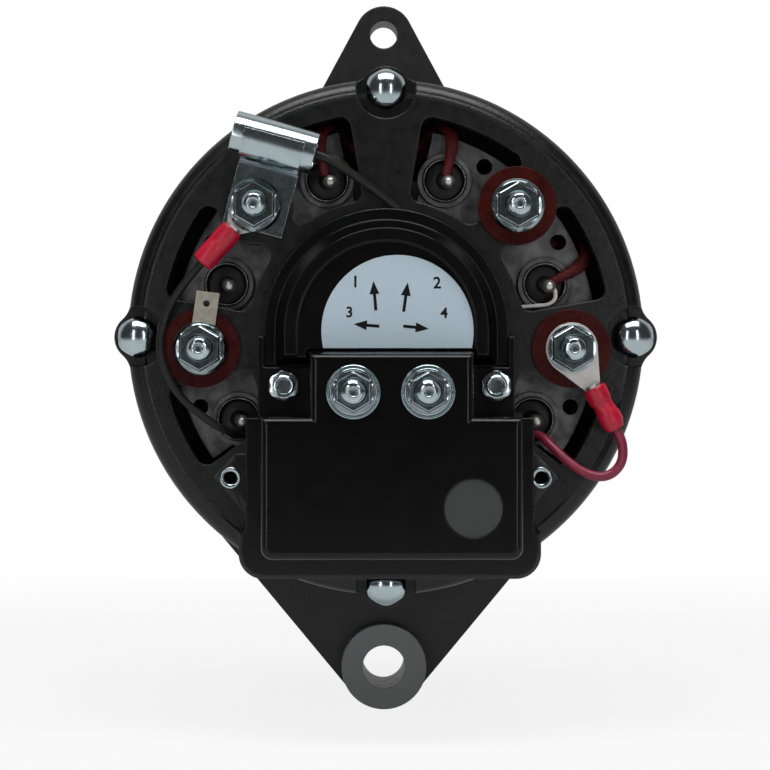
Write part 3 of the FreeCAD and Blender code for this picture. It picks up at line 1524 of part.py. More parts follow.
# Routes of the two leads from their sleeves, over the rim, down through the low windows to the brush
# holder, and of the capacitor's lead under the edge of the cover; stations count
# from the rear face, and the capacitor's heights from the top of the cover.
LEFT_ROUTE = [
    (-55.2, 14.6, 3.2), (-60.0, 7.2, 3.1), (-62.2, -1.2, 3.1), (-60.6, -9.8, 3.0),
    (-55.6, -17.4, 2.9), (-48.6, -22.9, 2.4), (-43.6, -25.9, -0.2), (-41.2, -26.0, -5.0),
    (-36.0, -27.6, -8.1), (-27.0, -31.8, -8.4), (-16.5, -33.4, -8.5),
]
RIGHT_ROUTE = [
    (64.6, -29.4, 4.6), (64.4, -34.6, 4.9), (60.6, -38.3, 5.0), (55.2, -37.9, 4.6),
    (49.6, -34.2, 3.4), (45.2, -29.6, 0.7), (42.6, -26.9, -3.4), (38.4, -26.9, -7.7),
    (30.4, -30.6, -8.2), (18.0, -33.2, -8.5),
]
CAPACITOR_ROUTE = [(-12.2, 11.3, 6.0), (-5.0, 6.4, 4.0), (1.4, 1.4, 2.1), (7.0, -3.6, 1.6),
                   (9.4, -10.6, 1.6)]
LEAD_END = (-33.6, -8.5)


def leads():
    """The black and the red lead and the capacitor's lead."""
    rear_face = FreeCAD.Vector(0, 0, value(REAR_FACE))
    holder_side = value("brush_width / 2 + slide_gap + brush_holder_wall + press_gap")
    routes = (
        ("left", UPPER_LEFT, LEFT_TERMINAL_SEAT, LEFT_ROUTE, -1),
        ("right", SIDE_RIGHT, RIGHT_TERMINAL_SEAT, RIGHT_ROUTE, 1),
    )
    for side, stud, station, route, sign in routes:
        start = f"{side}_sleeve_start + sleeve_length"
        points = [along_terminal(stud, station, f"{side}_sleeve_turn", f"({start} - crimp_neck_length)"),
                  along_terminal(stud, station, f"{side}_sleeve_turn", f"({start} + 1)")]
        points += [rear_face + FreeCAD.Vector(*place) for place in route]
        points.append(rear_face + FreeCAD.Vector(sign * holder_side, *LEAD_END))
        solid_piece(f"{side}_lead", tube(f"{side}_lead", points, value(f"{side}_lead_radius")))
    tilt = "capacitor_tilt"
    reach = "(capacitor_length / 2 - capacitor_crimp)"
    middle = value(f"{REAR_FACE} + strap_thickness + capacitor_radius")
    points = []
    for distance in (reach, f"({reach} + 3.4)"):
        points.append(FreeCAD.Vector(value(f"capacitor_x + {distance} * cos({tilt})"),
                                     value(f"capacitor_y + {distance} * sin({tilt})"), middle))
    cover_top = rear_face + FreeCAD.Vector(0, value("cover_centre + cover_half_width"), 0)
    points += [cover_top + FreeCAD.Vector(*place) for place in CAPACITOR_ROUTE]
    solid_piece("capacitor_lead", tube("capacitor_lead", points, value("capacitor_lead_radius")))


def phase_leads():
    """Three sleeved leads, lying on the end turns, then round the outer edge of a heat sink to its diode."""
    radius = value("phase_sleeve_radius")
    lying = value(f"{CORE_END} + winding_overhang + seat_gap") + radius
    edge = value("sink_outer") + radius + value("slide_gap")
    level = value(f"{SINK_FACE} + diode_rise + seat_gap") + radius
    end = value("diode_circle + diode_lead_radius + seat_gap")
    # Distance from the rotor axis, station, and turn about the axis before the diode is reached.
    stations = (
        (end + 4.6, lying, 14.0), (end + 7.6, lying, 9.0), (edge + 1.0, lying + 2.6, 6.0),
        (edge + 0.2, level - 3.1, 3.0), (edge - 4.0, level, 1.2), (end, level, 0.0),
    )
    shapes = []
    for side, angle in ((1, "diode_top_angle"), (1, "diode_side_angle"), (-1, "diode_top_angle")):
        points = []
        for reach, station, drift in stations:
            bearing = math.radians(value(angle) + drift)
            points.append(FreeCAD.Vector(side * reach * math.cos(bearing), reach * math.sin(bearing), station))
        shapes.append(tube("phase_lead", points, radius))
    solid_piece("phase_leads", Part.makeCompound(shapes))


def check():
    """Stop if any object failed or any piece is not a sound solid."""
    doc.recompute()
    for item in doc.Objects:
        if "Invalid" in item.State or "Error" in item.State:
            raise ValueError(f"{item.Label} failed")
    for piece in PIECES:
        if piece.Shape.isNull() or not piece.Shape.isValid() or not piece.Shape.Solids:
            raise ValueError(f"{piece.Label} is not a sound solid")


rear_housing()
front_housing()
through_bolts()
stator_core()
stator_windings()
phase_leads()
bearing_outer_ring("front_bearing_outer_ring", "front")
bearing_outer_ring("rear_bearing_outer_ring", "rear")
bearing_inner_ring("front_bearing_inner_ring", "front", "shaft_front_radius")
bearing_inner_ring("rear_bearing_inner_ring", "rear", "shaft_rear_radius")
bearing_retainer()
shaft()
claw_pole("front_claw_pole", True)
claw_pole("rear_claw_pole", False)
field_coil()
slip_rings()
fan_spacer()
fan()
pulley()
pulley_key()
shaft_nut()
heat_sink("right_heat_sink", 1)
heat_sink("left_heat_sink", -1)
diodes()
terminal_studs()
insulating_washers()
terminal_nuts()
brushes()
brush_holder()
regulator_base()
regulator_case()
regulator_plug()
regulator_fasteners()
bearing_cover()
label_plate()
capacitor()
ring_terminal("left", UPPER_LEFT, LEFT_TERMINAL_SEAT, "left_sleeve_turn", "left_sleeve_start",
              "left_lead_radius")
ring_terminal("right", SIDE_RIGHT, RIGHT_TERMINAL_SEAT, "right_sleeve_turn", "right_sleeve_start",
              "right_lead_radius")
blade_terminal()
tubular_rivets()
leads()
check()
os.makedirs("parts", exist_ok=True)
for piece in PIECES:
    piece.Shape.exportStep(f"parts/{piece.Label}.step")
print(f"{len(PIECES)} pieces written")
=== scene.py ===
"""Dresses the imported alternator: a finish for each solid, and detailed pieces where the solids are plain.

Lengths are in millimetres in the rotor's frame: x to the right as seen from the slip-ring end, y up from
the rotor's axis, z along it from the drive-end face. `stood_up` turns them into metres in the part's frame.
"""

import logging
import math
from dataclasses import dataclass, replace
from enum import Enum
from functools import cache

import bmesh
import bpy
import numpy as np
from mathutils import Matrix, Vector


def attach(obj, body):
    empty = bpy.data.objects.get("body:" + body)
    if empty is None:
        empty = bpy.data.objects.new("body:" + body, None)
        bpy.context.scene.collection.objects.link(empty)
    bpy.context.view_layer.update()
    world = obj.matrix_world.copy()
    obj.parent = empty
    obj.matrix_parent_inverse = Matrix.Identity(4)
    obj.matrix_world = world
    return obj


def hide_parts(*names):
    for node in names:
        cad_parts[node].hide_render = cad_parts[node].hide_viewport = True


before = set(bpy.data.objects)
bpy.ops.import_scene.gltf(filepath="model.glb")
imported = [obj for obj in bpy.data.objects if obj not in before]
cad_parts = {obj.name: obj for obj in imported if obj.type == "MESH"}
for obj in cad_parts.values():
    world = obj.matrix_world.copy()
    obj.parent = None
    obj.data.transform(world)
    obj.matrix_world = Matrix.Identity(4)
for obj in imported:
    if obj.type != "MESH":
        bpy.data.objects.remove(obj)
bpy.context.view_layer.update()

log = logging.getLogger("alternator")

Colour = tuple[float, float, float]
Point = tuple[float, float, float]
Place = tuple[float, float]
Rows = tuple[Place, ...]
Socket = bpy.types.NodeSocket

AXIS_HEIGHT = 97.4
ORIGIN_STATION = 16.5
MILLIMETRE = 0.001
MERGE_DISTANCE = 2e-6
FRAME_BODY = "stator_frame"
ROTOR_BODY = "rotor"
FULL_TURN = 2 * math.pi
WHITE = (1, 1, 1, 1)
LARGEST_TRIM = 0.45
NEARLY_UPRIGHT = 0.9
ROUND = 99.0
BEVEL_SAMPLES = 6
FINE_DETAIL = 5.0
SHEEN_DETAIL = 4.0
SHEEN_PARTS = 3
STUD_RADIUS = 3.175
STUD_PITCH = 1.27


def stood_up(points: np.ndarray) -> np.ndarray:
    """Return points as (x, origin station - z, y + axis height) / 1000: in metres, in the part's frame."""
    x, y, z = np.moveaxis(np.asarray(points, float), -1, 0)
    return np.stack([x, ORIGIN_STATION - z, y + AXIS_HEIGHT], -1) * MILLIMETRE


def rounded(corners: Rows | np.ndarray, reach: float, steps: int = 4) -> np.ndarray:
    """Round the inner corners of an open profile.

    Each corner P becomes the curve (1-t)^2 A + 2t(1-t) P + t^2 B, where A and B lie on its two sides at
    the reach, or at the largest trim's share of a shorter side.

    Args:
        corners: the profile's corners.
        reach: how far before and after a corner its curve starts and ends.
        steps: points on each curve.

    Returns:
        The rounded profile, one point a row.
    """
    corner = np.asarray(corners, float)
    run = np.diff(corner, axis=0)
    size = np.linalg.norm(run, axis=1, keepdims=True)
    trim = run / np.maximum(size, 1e-9) * np.minimum(reach, LARGEST_TRIM * size)
    start, middle, end = corner[1:-1] - trim[:-1], corner[1:-1], corner[1:-1] + trim[1:]
    t = np.linspace(0, 1, steps)[None, :, None]
    curve = (1 - t) ** 2 * start[:, None] + 2 * t * (1 - t) * middle[:, None] + t ** 2 * end[:, None]
    return np.concatenate([corner[:1], curve.reshape(-1, corner.shape[1]), corner[-1:]])


def turn_angles(count: int) -> np.ndarray:
    """Return the angles that divide a full turn into equal parts, as one row."""
    return np.arange(count)[None, :] * FULL_TURN / count


@dataclass(frozen=True)
class Line:
    """A straight axis in the rotor's frame: where it starts and which way it runs."""

    origin: Point
    along: Point = (0.0, 0.0, 1.0)

    def sides(self) -> tuple[np.ndarray, np.ndarray, np.ndarray]:
        """Work out the line's own frame.

        Returns:
            Two unit directions square to the line, and the line's own.
        """
        along = np.array(self.along, float) / np.linalg.norm(self.along)
        helper = np.array((1.0, 0.0, 0.0) if abs(along[2]) > NEARLY_UPRIGHT else (0.0, 0.0, 1.0))
        second = np.cross(along, helper)
        second /= np.linalg.norm(second)
        return np.cross(second, along), second, along

    def around(self, radii: np.ndarray, angles: np.ndarray, heights: np.ndarray) -> np.ndarray:
        """Return origin + radius (cos angle, sin angle) square to the line + height along it.

        Args:
            radii: distances from the line.
            angles: angles about it, in radians.
            heights: distances along it. All three broadcast together.

        Returns:
            The points, with x, y and z on the last axis.
        """
        first, second, along = self.sides()
        radii, angles, heights = (item[..., None] for item in np.broadcast_arrays(radii, angles, heights))
        square = np.cos(angles) * first + np.sin(angles) * second
        return np.array(self.origin) + radii * square + heights * along

    def hexed(self, rows: list | np.ndarray, sides: int = 96) -> np.ndarray:
        """Return a surface whose rows are each the smaller of a circle and a hexagon.

        The hexagon's distance from the line is half its width across flats over the cosine of the angle to
        the nearest flat.

        Args:
            rows: circle radius, width across flats and height of each row; ROUND has no flats.
            sides: points on each row.

        Returns:
            The grid of points.
        """
        circle, across, height = np.array(rows, float).T[..., None]
        angles = turn_angles(sides)
        from_flat = (angles + math.pi / 6) % (math.pi / 3) - math.pi / 6
        return self.around(np.minimum(circle, across / 2 / np.cos(from_flat)), angles, height)


def threaded(radius: float, depth: float, pitch: float, heights: np.ndarray, angles: np.ndarray) -> np.ndarray:
    """Return a thread's radius: less half its depth times 1 + cos(2 pi height / pitch - angle)."""
    return radius - depth / 2 * (1 + np.cos(FULL_TURN * heights / pitch - angles))


def grid_quads(rows: int, columns: int, around: bool = False, looped: bool = False) -> np.ndarray:
    """Join a grid of points into quads.

    Args:
        rows: rows of the grid.
        columns: columns of the grid.
        around: whether the last column joins the first.
        looped: whether the last row joins the first.

    Returns:
        Four point numbers a row.
    """
    index = np.arange(rows * columns).reshape(rows, columns)
    if around:
        index = np.concatenate([index, index[:, :1]], axis=1)
    if looped:
        index = np.concatenate([index, index[:1]], axis=0)
    return np.stack([index[:-1, :-1], index[:-1, 1:], index[1:, 1:], index[1:, :-1]], -1).reshape(-1, 4)


def placed(name: str, data: bpy.types.ID) -> bpy.types.Object:
    """Make an object of the data and link it to the scene.

    Args:
        name: the object's name.
        data: its mesh, curve, lamp or camera.

    Returns:
        The object.
    """
    item = bpy.data.objects.new(name, data)
    bpy.context.scene.collection.objects.link(item)
    return item


def settle(piece: bpy.types.Object, finish: "Finishes", body: str, replaces: tuple[str, ...] = ()) -> None:
    """Give a new piece its finish and its body, and hide the CAD nodes that it stands for.

    Args:
        piece: the new piece.
        finish: what it is made of.
        body: the body that it rides on.
        replaces: the CAD nodes that it stands for.
    """
    piece.data.materials.append(finish.value.material())
    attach(piece, body)
    if replaces:
        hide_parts(*replaces)
    log.info("%s on %s, %s", piece.name, body, finish.value.name)


class Shape:
    """Collects grids of points in the rotor's frame and makes them one mesh."""

    def __init__(self) -> None:
        """Start with no points and no faces."""
        self.points: list[np.ndarray] = []
        self.faces: list[list[int]] = []
        self.count = 0

    def take(self, points: np.ndarray, faces: list[list[int]]) -> "Shape":
        """Take points and the faces between them.

        Args:
            points: one point a row.
            faces: the numbers of each face's points, counted from 0.

        Returns:
            This shape.
        """
        self.faces += [[index + self.count for index in face] for face in faces]
        self.points.append(points)
        self.count += len(points)
        return self

    def add(self, grid: np.ndarray, looped: bool = False) -> "Shape":
        """Add a grid of points whose rows close on themselves; looped, its last row joins the first."""
        quads = grid_quads(*grid.shape[:2], around=True, looped=looped)
        return self.take(grid.reshape(-1, 3), quads.tolist())

    def turned(self, line: Line, profile: np.ndarray | Rows, sides: int = 48) -> "Shape":
        """Add a surface of revolution: each profile row, radius and height, is a circle about the line."""
        rows = np.asarray(profile, float)
        return self.add(line.around(rows[:, :1], turn_angles(sides), rows[:, 1:]))

    def build(self, name: str, finish: "Finishes", replaces: tuple[str, ...] = (), crease: float = 32.0,
              body: str = FRAME_BODY) -> None:
        """Make the piece, merge its doubles, point its faces outwards and let it ride on its body.

        Args:
            name: the piece's name.
            finish: what it is made of.
            replaces: the CAD nodes that it stands for.
            crease: edges that turn more than this many degrees stay sharp.
            body: the body that it rides on.
        """
        mesh = bpy.data.meshes.new(name)
        mesh.from_pydata(stood_up(np.concatenate(self.points)).tolist(), [], self.faces)
        work = bmesh.new()
        work.from_mesh(mesh)
        bmesh.ops.remove_doubles(work, verts=work.verts, dist=MERGE_DISTANCE)
        bmesh.ops.recalc_face_normals(work, faces=work.faces)
        work.to_mesh(mesh)
        work.free()
        mesh.shade_smooth()
        mesh.set_sharp_from_angle(angle=math.radians(crease))
        settle(placed(name, mesh), finish, body, replaces)


class Tree:
    """The node tree of a material or of the world, with nodes added and fed by name."""

    def __init__(self, owner: bpy.types.Material | bpy.types.World) -> None:
        """Empty the owner's tree and give it coordinates.

        Args:
            owner: the material or the world.
        """
        owner.use_nodes = True
        self.nodes, self.links = owner.node_tree.nodes, owner.node_tree.links
        self.nodes.clear()
        self.coordinates = self.add("TexCoord").outputs
        self.place = self.coordinates["Object"]

    def add(self, kind: str, inputs: dict | None = None, **settings: object) -> bpy.types.Node:
        """Add a node.

        Args:
            kind: the node's type, without its prefix.
            inputs: for each input's name or number, a socket to link or a value to set.
            settings: the node's own settings.

        Returns:
            The node.
        """
        node = self.nodes.new("ShaderNode" + kind)
        for key, setting in settings.items():
            setattr(node, key, setting)
        for key, given in (inputs or {}).items():
            if isinstance(given, Socket):
                self.links.new(given, node.inputs[key])
            else:
                node.inputs[key].default_value = given
        return node

    def noise(self, size: float, detail: float = 3.0, stretch: Point = (1, 1, 1)) -> Socket:
        """Add cloudy noise.

        Args:
            size: about how large its blobs are, in millimetres.
            detail: how fine it is within them.
            stretch: how far they are drawn out along each axis.

        Returns:
            Its value.
        """
        scale = tuple(1 / (size * MILLIMETRE * part) for part in stretch)
        moved = self.add("Mapping", {"Vector": self.place, "Scale": scale})
        return self.add("TexNoise", {"Vector": moved.outputs[0], "Scale": 1.0, "Detail": detail}).outputs["Fac"]

    def spread(self, source: Socket, low: float | Socket, high: float, from_low: float = 0.3,
               from_high: float = 0.7) -> Socket:
        """Return a value carried from one range to another, and held within it."""
        return self.add("MapRange", {"Value": source, "From Min": from_low, "From Max": from_high,
                                     "To Min": low, "To Max": high}).outputs[0]

    def math(self, operation: str, first: object, second: object = 0.0) -> Socket:
        """Return a sum on one or two values."""
        return self.add("Math", {0: first, 1: second}, operation=operation).outputs[0]

    def mixed(self, factor: Socket, first: object, second: object) -> Socket:
        """Return a colour between two, by a factor."""
        values = [(*item, 1.0) if isinstance(item, tuple) else item for item in (first, second)]
        return self.add("Mix", {0: factor, 6: values[0], 7: values[1]}, data_type="RGBA").outputs[2]

    def bumped(self, height: Socket, depth: float, base: Socket) -> Socket:
        """Return a normal bent by a height whose full range is that depth in millimetres."""
        return self.add("Bump", {"Height": height, "Distance": depth * MILLIMETRE, "Strength": 1.0,
                                 "Normal": base}).outputs[0]

    def rays(self) -> tuple[Socket, Socket]:
        """Return whether the camera looks straight at it, and whether it is seen mirrored or through glass."""
        path = self.add("LightPath").outputs
        return path["Is Camera Ray"], self.math("MAXIMUM", path["Is Glossy Ray"], path["Is Transmission Ray"])


@dataclass(frozen=True)
class Finish:
    """A finish: two colours in patches, a range of roughness, a grain, and softened edges with a painted
    highlight colour.

    Sizes are in millimetres. Where an edge's bend is past the flat range, the painted edge highlight shows,
    broken into patches.
    """

    name: str
    slot: str
    colour: Colour
    patch: Colour
    roughness: Place = (0.3, 0.4)
    metallic: float = 0.0
    patch_size: float = 7.0
    grain_size: float = 0.8
    grain_depth: float = 0.02
    edge_radius: float = 0.35
    # Painted edge highlight: the lighter colour that edges take past the flat range, in patches of the size
    # below, never less than the least share.
    edge_highlight_colour: Colour | None = None
    specular: float = 0.5
    flat_range: Place = (0.80, 0.97)
    edge_highlight_patch_size: float = 1.6
    least_edge_highlight: float = 0.35

    @cache
    def material(self) -> bpy.types.Material:
        """Build the material, once for each finish.

        Returns:
            The material, with the finish's own pattern.
        """
        material = bpy.data.materials.new(self.name)
        tree = Tree(material)
        base = tree.mixed(tree.spread(tree.noise(self.patch_size), 0, 1), self.colour, self.patch)
        soft = tree.add("Bevel", {"Radius": self.edge_radius * MILLIMETRE}, samples=BEVEL_SAMPLES).outputs[0]
        # Painted edge highlight: lighten the softened edges, in patches, to stand in for the light that they
        # catch.
        if self.edge_highlight_colour:
            true = tree.add("NewGeometry").outputs["True Normal"]
            flatness = tree.add("VectorMath", {0: soft, 1: true}, operation="DOT_PRODUCT").outputs["Value"]
            patchy = tree.spread(tree.noise(self.edge_highlight_patch_size), self.least_edge_highlight, 1)
            painted_edge_highlight = tree.math("MULTIPLY", tree.spread(flatness, 1, 0, *self.flat_range), patchy)
            base = tree.mixed(painted_edge_highlight, base, self.edge_highlight_colour)
        grain = tree.bumped(tree.noise(self.grain_size, FINE_DETAIL), self.grain_depth, soft)
        sheen = tree.noise(self.patch_size / SHEEN_PARTS, SHEEN_DETAIL)
        shader = tree.add("BsdfPrincipled", {
            "Base Color": self.tint(tree, base), "Metallic": self.metallic, "Specular IOR Level": self.specular,
            "Roughness": tree.spread(sheen, *self.roughness), "Normal": self.relief(tree, grain)})
        tree.add("OutputMaterial", {"Surface": shader.outputs[0]})
        return material

    def tint(self, tree: Tree, base: Socket) -> Socket:
        """Return the colour with the finish's own pattern; the plain finish has none."""
        return base

    def relief(self, tree: Tree, normal: Socket) -> Socket:
        """Return the normal with the finish's own relief; the plain finish has none."""
        return normal


@dataclass(frozen=True)
class Laminated(Finish):
    """Stacked sheets: dark joints across the axis, at the pitch in millimetres."""

    pitch: float = 0.65
    joint_shade: float = 0.35
    joint_range: Place = (0.1, 0.5)
    joint_depth: float = 0.05

    def bands(self, tree: Tree) -> Socket:
        """Work out |sin(pi depth / pitch)| along y.

        Args:
            tree: the material's nodes.

        Returns:
            A value that is 1 in the middle of each sheet and falls to 0 at its joints.
        """
        depth = tree.add("SeparateXYZ", {0: tree.place}).outputs["Y"]
        turns = tree.math("MULTIPLY", depth, math.pi / (self.pitch * MILLIMETRE))
        return tree.math("ABSOLUTE", tree.math("SINE", turns))

    def tint(self, tree: Tree, base: Socket) -> Socket:
        """Darken the joints."""
        dark = tuple(part * self.joint_shade for part in self.colour)
        return tree.mixed(tree.spread(self.bands(tree), 0, 1, *self.joint_range), dark, base)

    def relief(self, tree: Tree, normal: Socket) -> Socket:
        """Sink the joints a little."""
        return tree.bumped(self.bands(tree), self.joint_depth, normal)


@dataclass(frozen=True)
class Wound(Finish):
    """Wire or braid: fine ridges that cross the piece in two slanting sets, at the pitch in millimetres."""

    pitch: float = 0.9
    ridge_depth: float = 0.06

    def relief(self, tree: Tree, normal: Socket) -> Socket:
        """Raise the two sets of ridges, each the sine of a slanting distance.

        Args:
            tree: the material's nodes.
            normal: the normal so far.

        Returns:
            The normal with the ridges.
        """
        parts = tree.add("SeparateXYZ", {0: tree.place}).outputs
        for first, second in (("X", "Z"), ("Y", "X")):
            slant = tree.math("ADD", parts[first], parts[second])
            ridge = tree.math("SINE", tree.math("MULTIPLY", slant, FULL_TURN / (self.pitch * MILLIMETRE)))
            normal = tree.bumped(ridge, self.ridge_depth, normal)
        return normal


@dataclass(frozen=True)
class Plated(Finish):
    """Plated metal with short fine scratches and a faint cloudiness."""

    scratch_size: float = 0.25
    scratch_detail: float = 2.0
    scratch_stretch: Point = (14, 1, 1)
    scratch_range: Place = (0.55, 0.7)
    scratch_depth: float = 0.0015

    def relief(self, tree: Tree, normal: Socket) -> Socket:
        """Cut scratches, noise drawn out along one direction."""
        scratches = tree.noise(self.scratch_size, self.scratch_detail, self.scratch_stretch)
        return tree.bumped(tree.spread(scratches, 0, 1, *self.scratch_range), self.scratch_depth, normal)


@dataclass(frozen=True)
class Cast(Finish):
    """Painted casting with a low ridge round the rotor's axis and an unpainted lug.

    A radius of 0 leaves the ridge or the lug out. The skin shows on both end faces of the lug, beyond the
    bare length from its middle.
    """

    ridge_radius: float = 0.0
    ridge_width: float = 0.7
    ridge_height: float = 0.18
    bare_radius: float = 0.0
    bare_from: float = 9.6
    side_fade: float = 0.2
    end_fade: float = 0.3
    skin: Colour = (0.29, 0.293, 0.30)

    def distance(self, tree: Tree, height: float) -> Socket:
        """Work out the distance from a line that runs along y.

        Args:
            tree: the material's nodes.
            height: how high the line lies, in millimetres.

        Returns:
            The distance in metres.
        """
        flat = tree.add("VectorMath", {0: tree.place, 1: (1, 0, 1)}, operation="MULTIPLY").outputs[0]
        centre = (0, 0, height * MILLIMETRE)
        return tree.add("VectorMath", {0: flat, 1: centre}, operation="DISTANCE").outputs["Value"]

    def tint(self, tree: Tree, base: Socket) -> Socket:
        """Leave the lug's end faces unpainted.

        Args:
            tree: the material's nodes.
            base: the paint's colour.

        Returns:
            The paint's colour, and the skin's on both end faces.
        """
        if not self.bare_radius:
            return base
        edge, end = self.bare_radius, self.bare_from
        gone = (edge + self.side_fade) * MILLIMETRE
        near = tree.spread(self.distance(tree, 0), 1, 0, edge * MILLIMETRE, gone)
        along = tree.math("ABSOLUTE", tree.add("SeparateXYZ", {0: tree.place}).outputs["Y"])
        ends = tree.spread(along, 0, 1, end * MILLIMETRE, (end + self.end_fade) * MILLIMETRE)
        return tree.mixed(tree.math("MULTIPLY", near, ends), base, self.skin)

    def relief(self, tree: Tree, normal: Socket) -> Socket:
        """Raise the ridge, highest at its radius and gone at its half width.

        Args:
            tree: the material's nodes.
            normal: the normal so far.

        Returns:
            The normal with the ridge.
        """
        if not self.ridge_radius:
            return normal
        away = tree.math("SUBTRACT", self.distance(tree, AXIS_HEIGHT), self.ridge_radius * MILLIMETRE)
        ridge = tree.spread(tree.math("ABSOLUTE", away), 1, 0, 0, self.ridge_width * MILLIMETRE)
        return tree.bumped(ridge, self.ridge_height, normal)


class Finishes(Enum):
    """Every finish on the alternator: name, slot, colour, patch colour, range of roughness, and the rest."""

    REAR_CASTING = Cast(
        "rear_cast_black", "black_casting", (0.0038, 0.0039, 0.0042), (0.0062, 0.0063, 0.0066), (0.25, 0.35),
        patch_size=9, grain_depth=0.055, edge_radius=0.7, edge_highlight_colour=(0.020, 0.020, 0.022), specular=0.36,
        ridge_radius=66.9)
    # Painted light: a lighter copy of the rear casting's black paint, standing in for light on the front
    # housing's dim web.
    FRONT_CASTING = replace(
        REAR_CASTING, name="front_cast_black", colour=(0.0058, 0.0059, 0.0062), patch=(0.0086, 0.0087, 0.0090),
        roughness=(0.32, 0.44), specular=0.42, ridge_radius=0.0, bare_radius=12.75)
    GLOSS = Finish(
        "gloss_black", "gloss_black", (0.0022, 0.0022, 0.0024), (0.0028, 0.0028, 0.0031), (0.13, 0.19),
        patch_size=18, grain_size=1.6, grain_depth=0.004, edge_radius=0.55, edge_highlight_colour=(0.012, 0.012, 0.013),
        specular=0.4)
    CASE = replace(GLOSS, name="case_black", specular=0.27)
    MOULDED = Finish(
        "moulded_black", "black_moulding", (0.005, 0.005, 0.005), (0.009, 0.009, 0.009), (0.45, 0.6),
        patch_size=6, grain_size=0.6)
    POTTING = Finish(
        "potting", "potting", (0.0165, 0.0178, 0.0183), (0.0200, 0.0214, 0.0220), (0.42, 0.55),
        patch_size=5, grain_size=0.5, edge_radius=0.3, specular=0.7)
    ZINC = Plated(
        "zinc_plate", "zinc_steel", (0.47, 0.55, 0.58), (0.39, 0.47, 0.50), (0.12, 0.19), metallic=1.0,
        patch_size=5, grain_size=0.6, grain_depth=0.0008, edge_radius=0.16, edge_highlight_colour=(0.82, 0.87, 0.90))
    NUTS = replace(ZINC, name="nut_plate", colour=(0.33, 0.39, 0.41), patch=(0.27, 0.33, 0.35))
    TIN = Plated(
        "tin_plate", "zinc_steel", (0.66, 0.64, 0.63), (0.56, 0.54, 0.53), (0.36, 0.48), metallic=0.9,
        patch_size=3, grain_size=0.5, grain_depth=0.003, edge_radius=0.2, edge_highlight_colour=(0.82, 0.80, 0.79))
    YELLOWED = Plated(
        "yellowed_tin", "zinc_steel", (0.45, 0.42, 0.35), (0.32, 0.30, 0.25), (0.34, 0.5), metallic=0.8,
        patch_size=1.8, grain_size=0.5, grain_depth=0.004, edge_radius=0.2, edge_highlight_colour=(0.62, 0.58, 0.50))
    MACHINED = Plated(
        "machined_steel", "machined_steel", (0.36, 0.36, 0.37), (0.32, 0.32, 0.33), (0.28, 0.35), metallic=1.0,
        patch_size=5, grain_size=0.4, grain_depth=0.003, edge_radius=0.25, edge_highlight_colour=(0.5, 0.5, 0.5))
    GROUND = Plated(
        "bearing_steel", "bearing_steel", (0.55, 0.55, 0.57), (0.45, 0.45, 0.47), (0.16, 0.24), metallic=1.0,
        patch_size=6, grain_size=0.4, grain_depth=0.003, edge_radius=0.2)
    LAMINATIONS = Laminated(
        "laminations", "lamination_steel", (0.05, 0.05, 0.052), (0.09, 0.085, 0.08), (0.4, 0.55), metallic=0.6,
        patch_size=8, grain_size=0.7, edge_radius=0.2)
    ALUMINIUM = Plated(
        "plated_aluminium", "plated_aluminium", (0.19, 0.19, 0.195), (0.065, 0.065, 0.068), (0.34, 0.55),
        metallic=0.8, patch_size=4, grain_size=0.6, grain_depth=0.03, edge_radius=0.3,
        edge_highlight_colour=(0.40, 0.40, 0.41))
    CUP = Plated(
        "diode_cup", "zinc_steel", (0.26, 0.25, 0.245), (0.13, 0.125, 0.12), (0.24, 0.38), metallic=0.95,
        patch_size=2.5, grain_size=0.5, grain_depth=0.004, edge_radius=0.25, edge_highlight_colour=(0.75, 0.73, 0.72))
    ENAMEL = Wound(
        "enamelled_wire", "enamelled_copper", (0.16, 0.018, 0.014), (0.07, 0.010, 0.008), (0.25, 0.45),
        metallic=0.25, patch_size=3, grain_size=0.6, grain_depth=0.05, edge_radius=0.2)
    COPPER = Finish(
        "bare_copper", "bare_copper", (0.72, 0.36, 0.22), (0.55, 0.25, 0.15), (0.22, 0.35), metallic=1.0)
    CARBON = Finish("carbon", "carbon", (0.03, 0.03, 0.032), (0.05, 0.05, 0.052), (0.5, 0.65))
    WASHER = Finish(
        "red_washer", "red_washer", (0.050, 0.0040, 0.0026), (0.026, 0.0022, 0.0017), (0.24, 0.36),
        grain_size=0.7, grain_depth=0.008, edge_radius=0.3, edge_highlight_colour=(0.10, 0.012, 0.008), specular=0.14)
    BRAID = Wound(
        "red_braid", "red_sleeving", (0.14, 0.005, 0.006), (0.075, 0.003, 0.004), (0.5, 0.7),
        patch_size=3, grain_size=0.4, grain_depth=0.03, edge_radius=0.2)
    CRIMSON = Finish(
        "crimson_vinyl", "crimson_sleeve", (0.52, 0.006, 0.034), (0.40, 0.004, 0.022), (0.30, 0.42),
        patch_size=4, grain_size=0.9, grain_depth=0.03, edge_radius=0.3, edge_highlight_colour=(0.62, 0.03, 0.07))
    RED_CABLE = Finish(
        "red_cable", "red_cable", (0.25, 0.016, 0.050), (0.19, 0.012, 0.036), (0.34, 0.46),
        patch_size=3, grain_size=0.5, edge_radius=0.2)
    BLACK_CABLE = Finish(
        "black_cable", "black_cable", (0.006, 0.007, 0.006), (0.010, 0.011, 0.010), (0.34, 0.5),
        patch_size=3, grain_size=0.5, edge_radius=0.2, specular=0.3)
    LABEL = Finish(
        "pale_plate", "label", (0.46, 0.57, 0.65), (0.51, 0.63, 0.71), (0.42, 0.5), patch_size=0.6,
        grain_size=0.3, grain_depth=0.004, edge_radius=0.12, edge_highlight_colour=(0.55, 0.62, 0.66))
    INK = Finish(
        "black_ink", "label", (0.0025, 0.0025, 0.003), (0.006, 0.006, 0.007), (0.4, 0.5), patch_size=1.2,
        specular=0.15)


@dataclass(frozen=True)
class Lamp:
    """One rectangular lamp: its name, its place and size in metres, and its watts."""

    name: str
    place: Point
    size: Place
    power: float


